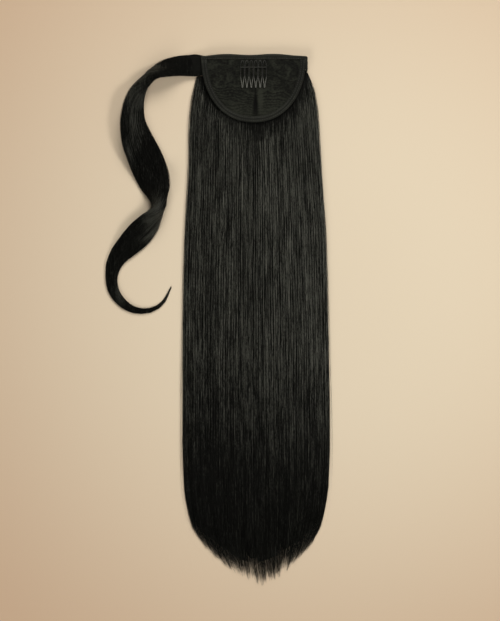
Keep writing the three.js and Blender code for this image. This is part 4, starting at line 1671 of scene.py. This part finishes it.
class HAIRPIECE_OT_tapes(bpy.types.Operator):
    """Build the two tapes that edge the pad, and their stitches"""

    bl_idname = "hairpiece.tapes"
    bl_label = "Tapes and stitches"

    def execute(self, context):
        settings = context.scene.hairpiece_pad
        tape = shared("ribbed tape", tape_material)
        thread = shared("sewing thread", thread_material)
        profile = tape_profile(BINDING_WIDTH, BINDING_THICKNESS, BINDING_RIDGES)
        rings = binding_rings(profile, 170)
        binding = mesh_piece("curve_tape", *skin(rings), materials=[tape])
        finish_piece(binding, "tape", "curve_binding")
        profile = tape_profile(BAND_WIDTH, BAND_THICKNESS, (BAND_RIDGE,))
        skins = joined_skins([skin(band_rings(profile, 120)), skin(band_tab())])
        band = mesh_piece("edge_tape", *skins, materials=[tape])
        finish_piece(band, "tape", "straight_band")
        tree = stitch_tree()
        for name, path in self.seams().items():
            guide = path_piece("seam_path", path)
            values = {
                "Path": guide,
                "Pitch": settings.stitch_pitch,
                "Length": settings.stitch_pitch * 0.72,
                "Thickness": 0.36 * MM,
                "Seed": 5,
                "Material": thread,
            }
            finish_piece(grow(name, tree, values), "tape")
            bpy.data.objects.remove(guide)
        return {"FINISHED"}

    def seams(self):
        """Paths of the stitch rows, in millimetres."""
        paths = {}
        top = NET_THICKNESS + CLEARANCE
        for name, inset in zip(("outer", "inner"), BINDING_RIDGES):
            curve = pad_outline(inset, 150, BAND_INNER - CLEARANCE - 1.0)
            under = net_under(curve[:, 0], curve[:, 1])
            height = under + top + BINDING_THICKNESS + STITCH_LIFT
            paths[f"binding_stitches_{name}"] = np.column_stack([curve, height])
        x = np.linspace(-PAD_HALF + 1.0, PAD_HALF - 1.0, 120)
        y = lerp(edge_y(x), BAND_INNER, BAND_RIDGE / BAND_WIDTH)
        height = np.full(len(x), band_level() + top + BAND_THICKNESS + STITCH_LIFT)
        paths["band_stitches"] = np.column_stack([x, y, height])
        return paths


class HAIRPIECE_OT_comb(bpy.types.Operator):
    """Bend the comb's wires and wind its spine"""

    bl_idname = "hairpiece.comb"
    bl_label = "Wire comb"

    def execute(self, context):
        settings = context.scene.hairpiece_comb
        paths, spine = comb_paths()
        skins = [skin(tube_rings(path, WIRE_RADIUS, 10)) for path in paths]
        skins.append(skin(tube_rings(spine, SPINE_RADIUS * 0.7, 10)))
        lacquer = shared("lacquered wire", wire_material)
        wires = mesh_piece("comb_wires", *joined_skins(skins), materials=[lacquer])
        finish_piece(wires, "comb_wire", "comb")
        length = (spine[-1][0] - spine[0][0]) * MM
        turns = int(length / settings.winding_pitch)
        values = {
            "Turns": turns,
            "Start": tuple(float(value) * MM for value in spine[0]),
            "Step": (length / turns, 0.0, 0.0),
            "Radius": (SPINE_RADIUS - 0.14) * MM,
            "Thickness": 0.4 * MM,
            "Material": shared("sewing thread", thread_material),
        }
        finish_piece(grow("spine_winding", winding_tree(), values), "comb_wire")
        return {"FINISHED"}


STEPS = (
    HAIRPIECE_OT_stage,
    HAIRPIECE_OT_fall,
    HAIRPIECE_OT_wrap,
    HAIRPIECE_OT_pad,
    HAIRPIECE_OT_tapes,
    HAIRPIECE_OT_comb,
)


class HAIRPIECE_PT_panel(bpy.types.Panel):
    """The hairpiece's settings and the steps that build it"""

    bl_label = "Hairpiece"
    bl_idname = "HAIRPIECE_PT_panel"
    bl_space_type = "VIEW_3D"
    bl_region_type = "UI"
    bl_category = "Hairpiece"

    def draw(self, context):
        for name in SETTINGS:
            box = self.layout.box()
            settings = getattr(context.scene, name)
            for label in settings.__annotations__:
                box.prop(settings, label)
        for step in STEPS:
            self.layout.operator(step.bl_idname)


SETTINGS = {
    "hairpiece_stage": StageSettings,
    "hairpiece_fall": FallSettings,
    "hairpiece_wrap": WrapSettings,
    "hairpiece_pad": PadSettings,
    "hairpiece_comb": CombSettings,
}


def register():
    for settings in SETTINGS.values():
        bpy.utils.register_class(settings)
    for name, settings in SETTINGS.items():
        setattr(bpy.types.Scene, name, PointerProperty(type=settings))
    for step in STEPS:
        bpy.utils.register_class(step)
    bpy.utils.register_class(HAIRPIECE_PT_panel)


def unregister():
    bpy.utils.unregister_class(HAIRPIECE_PT_panel)
    for step in reversed(STEPS):
        bpy.utils.unregister_class(step)
    for name in SETTINGS:
        delattr(bpy.types.Scene, name)
    for settings in reversed(list(SETTINGS.values())):
        bpy.utils.unregister_class(settings)


def main():
    register()
    for step in STEPS:
        group, name = step.bl_idname.split(".")
        getattr(getattr(bpy.ops, group), name)()


if __name__ == "__main__":
    main()
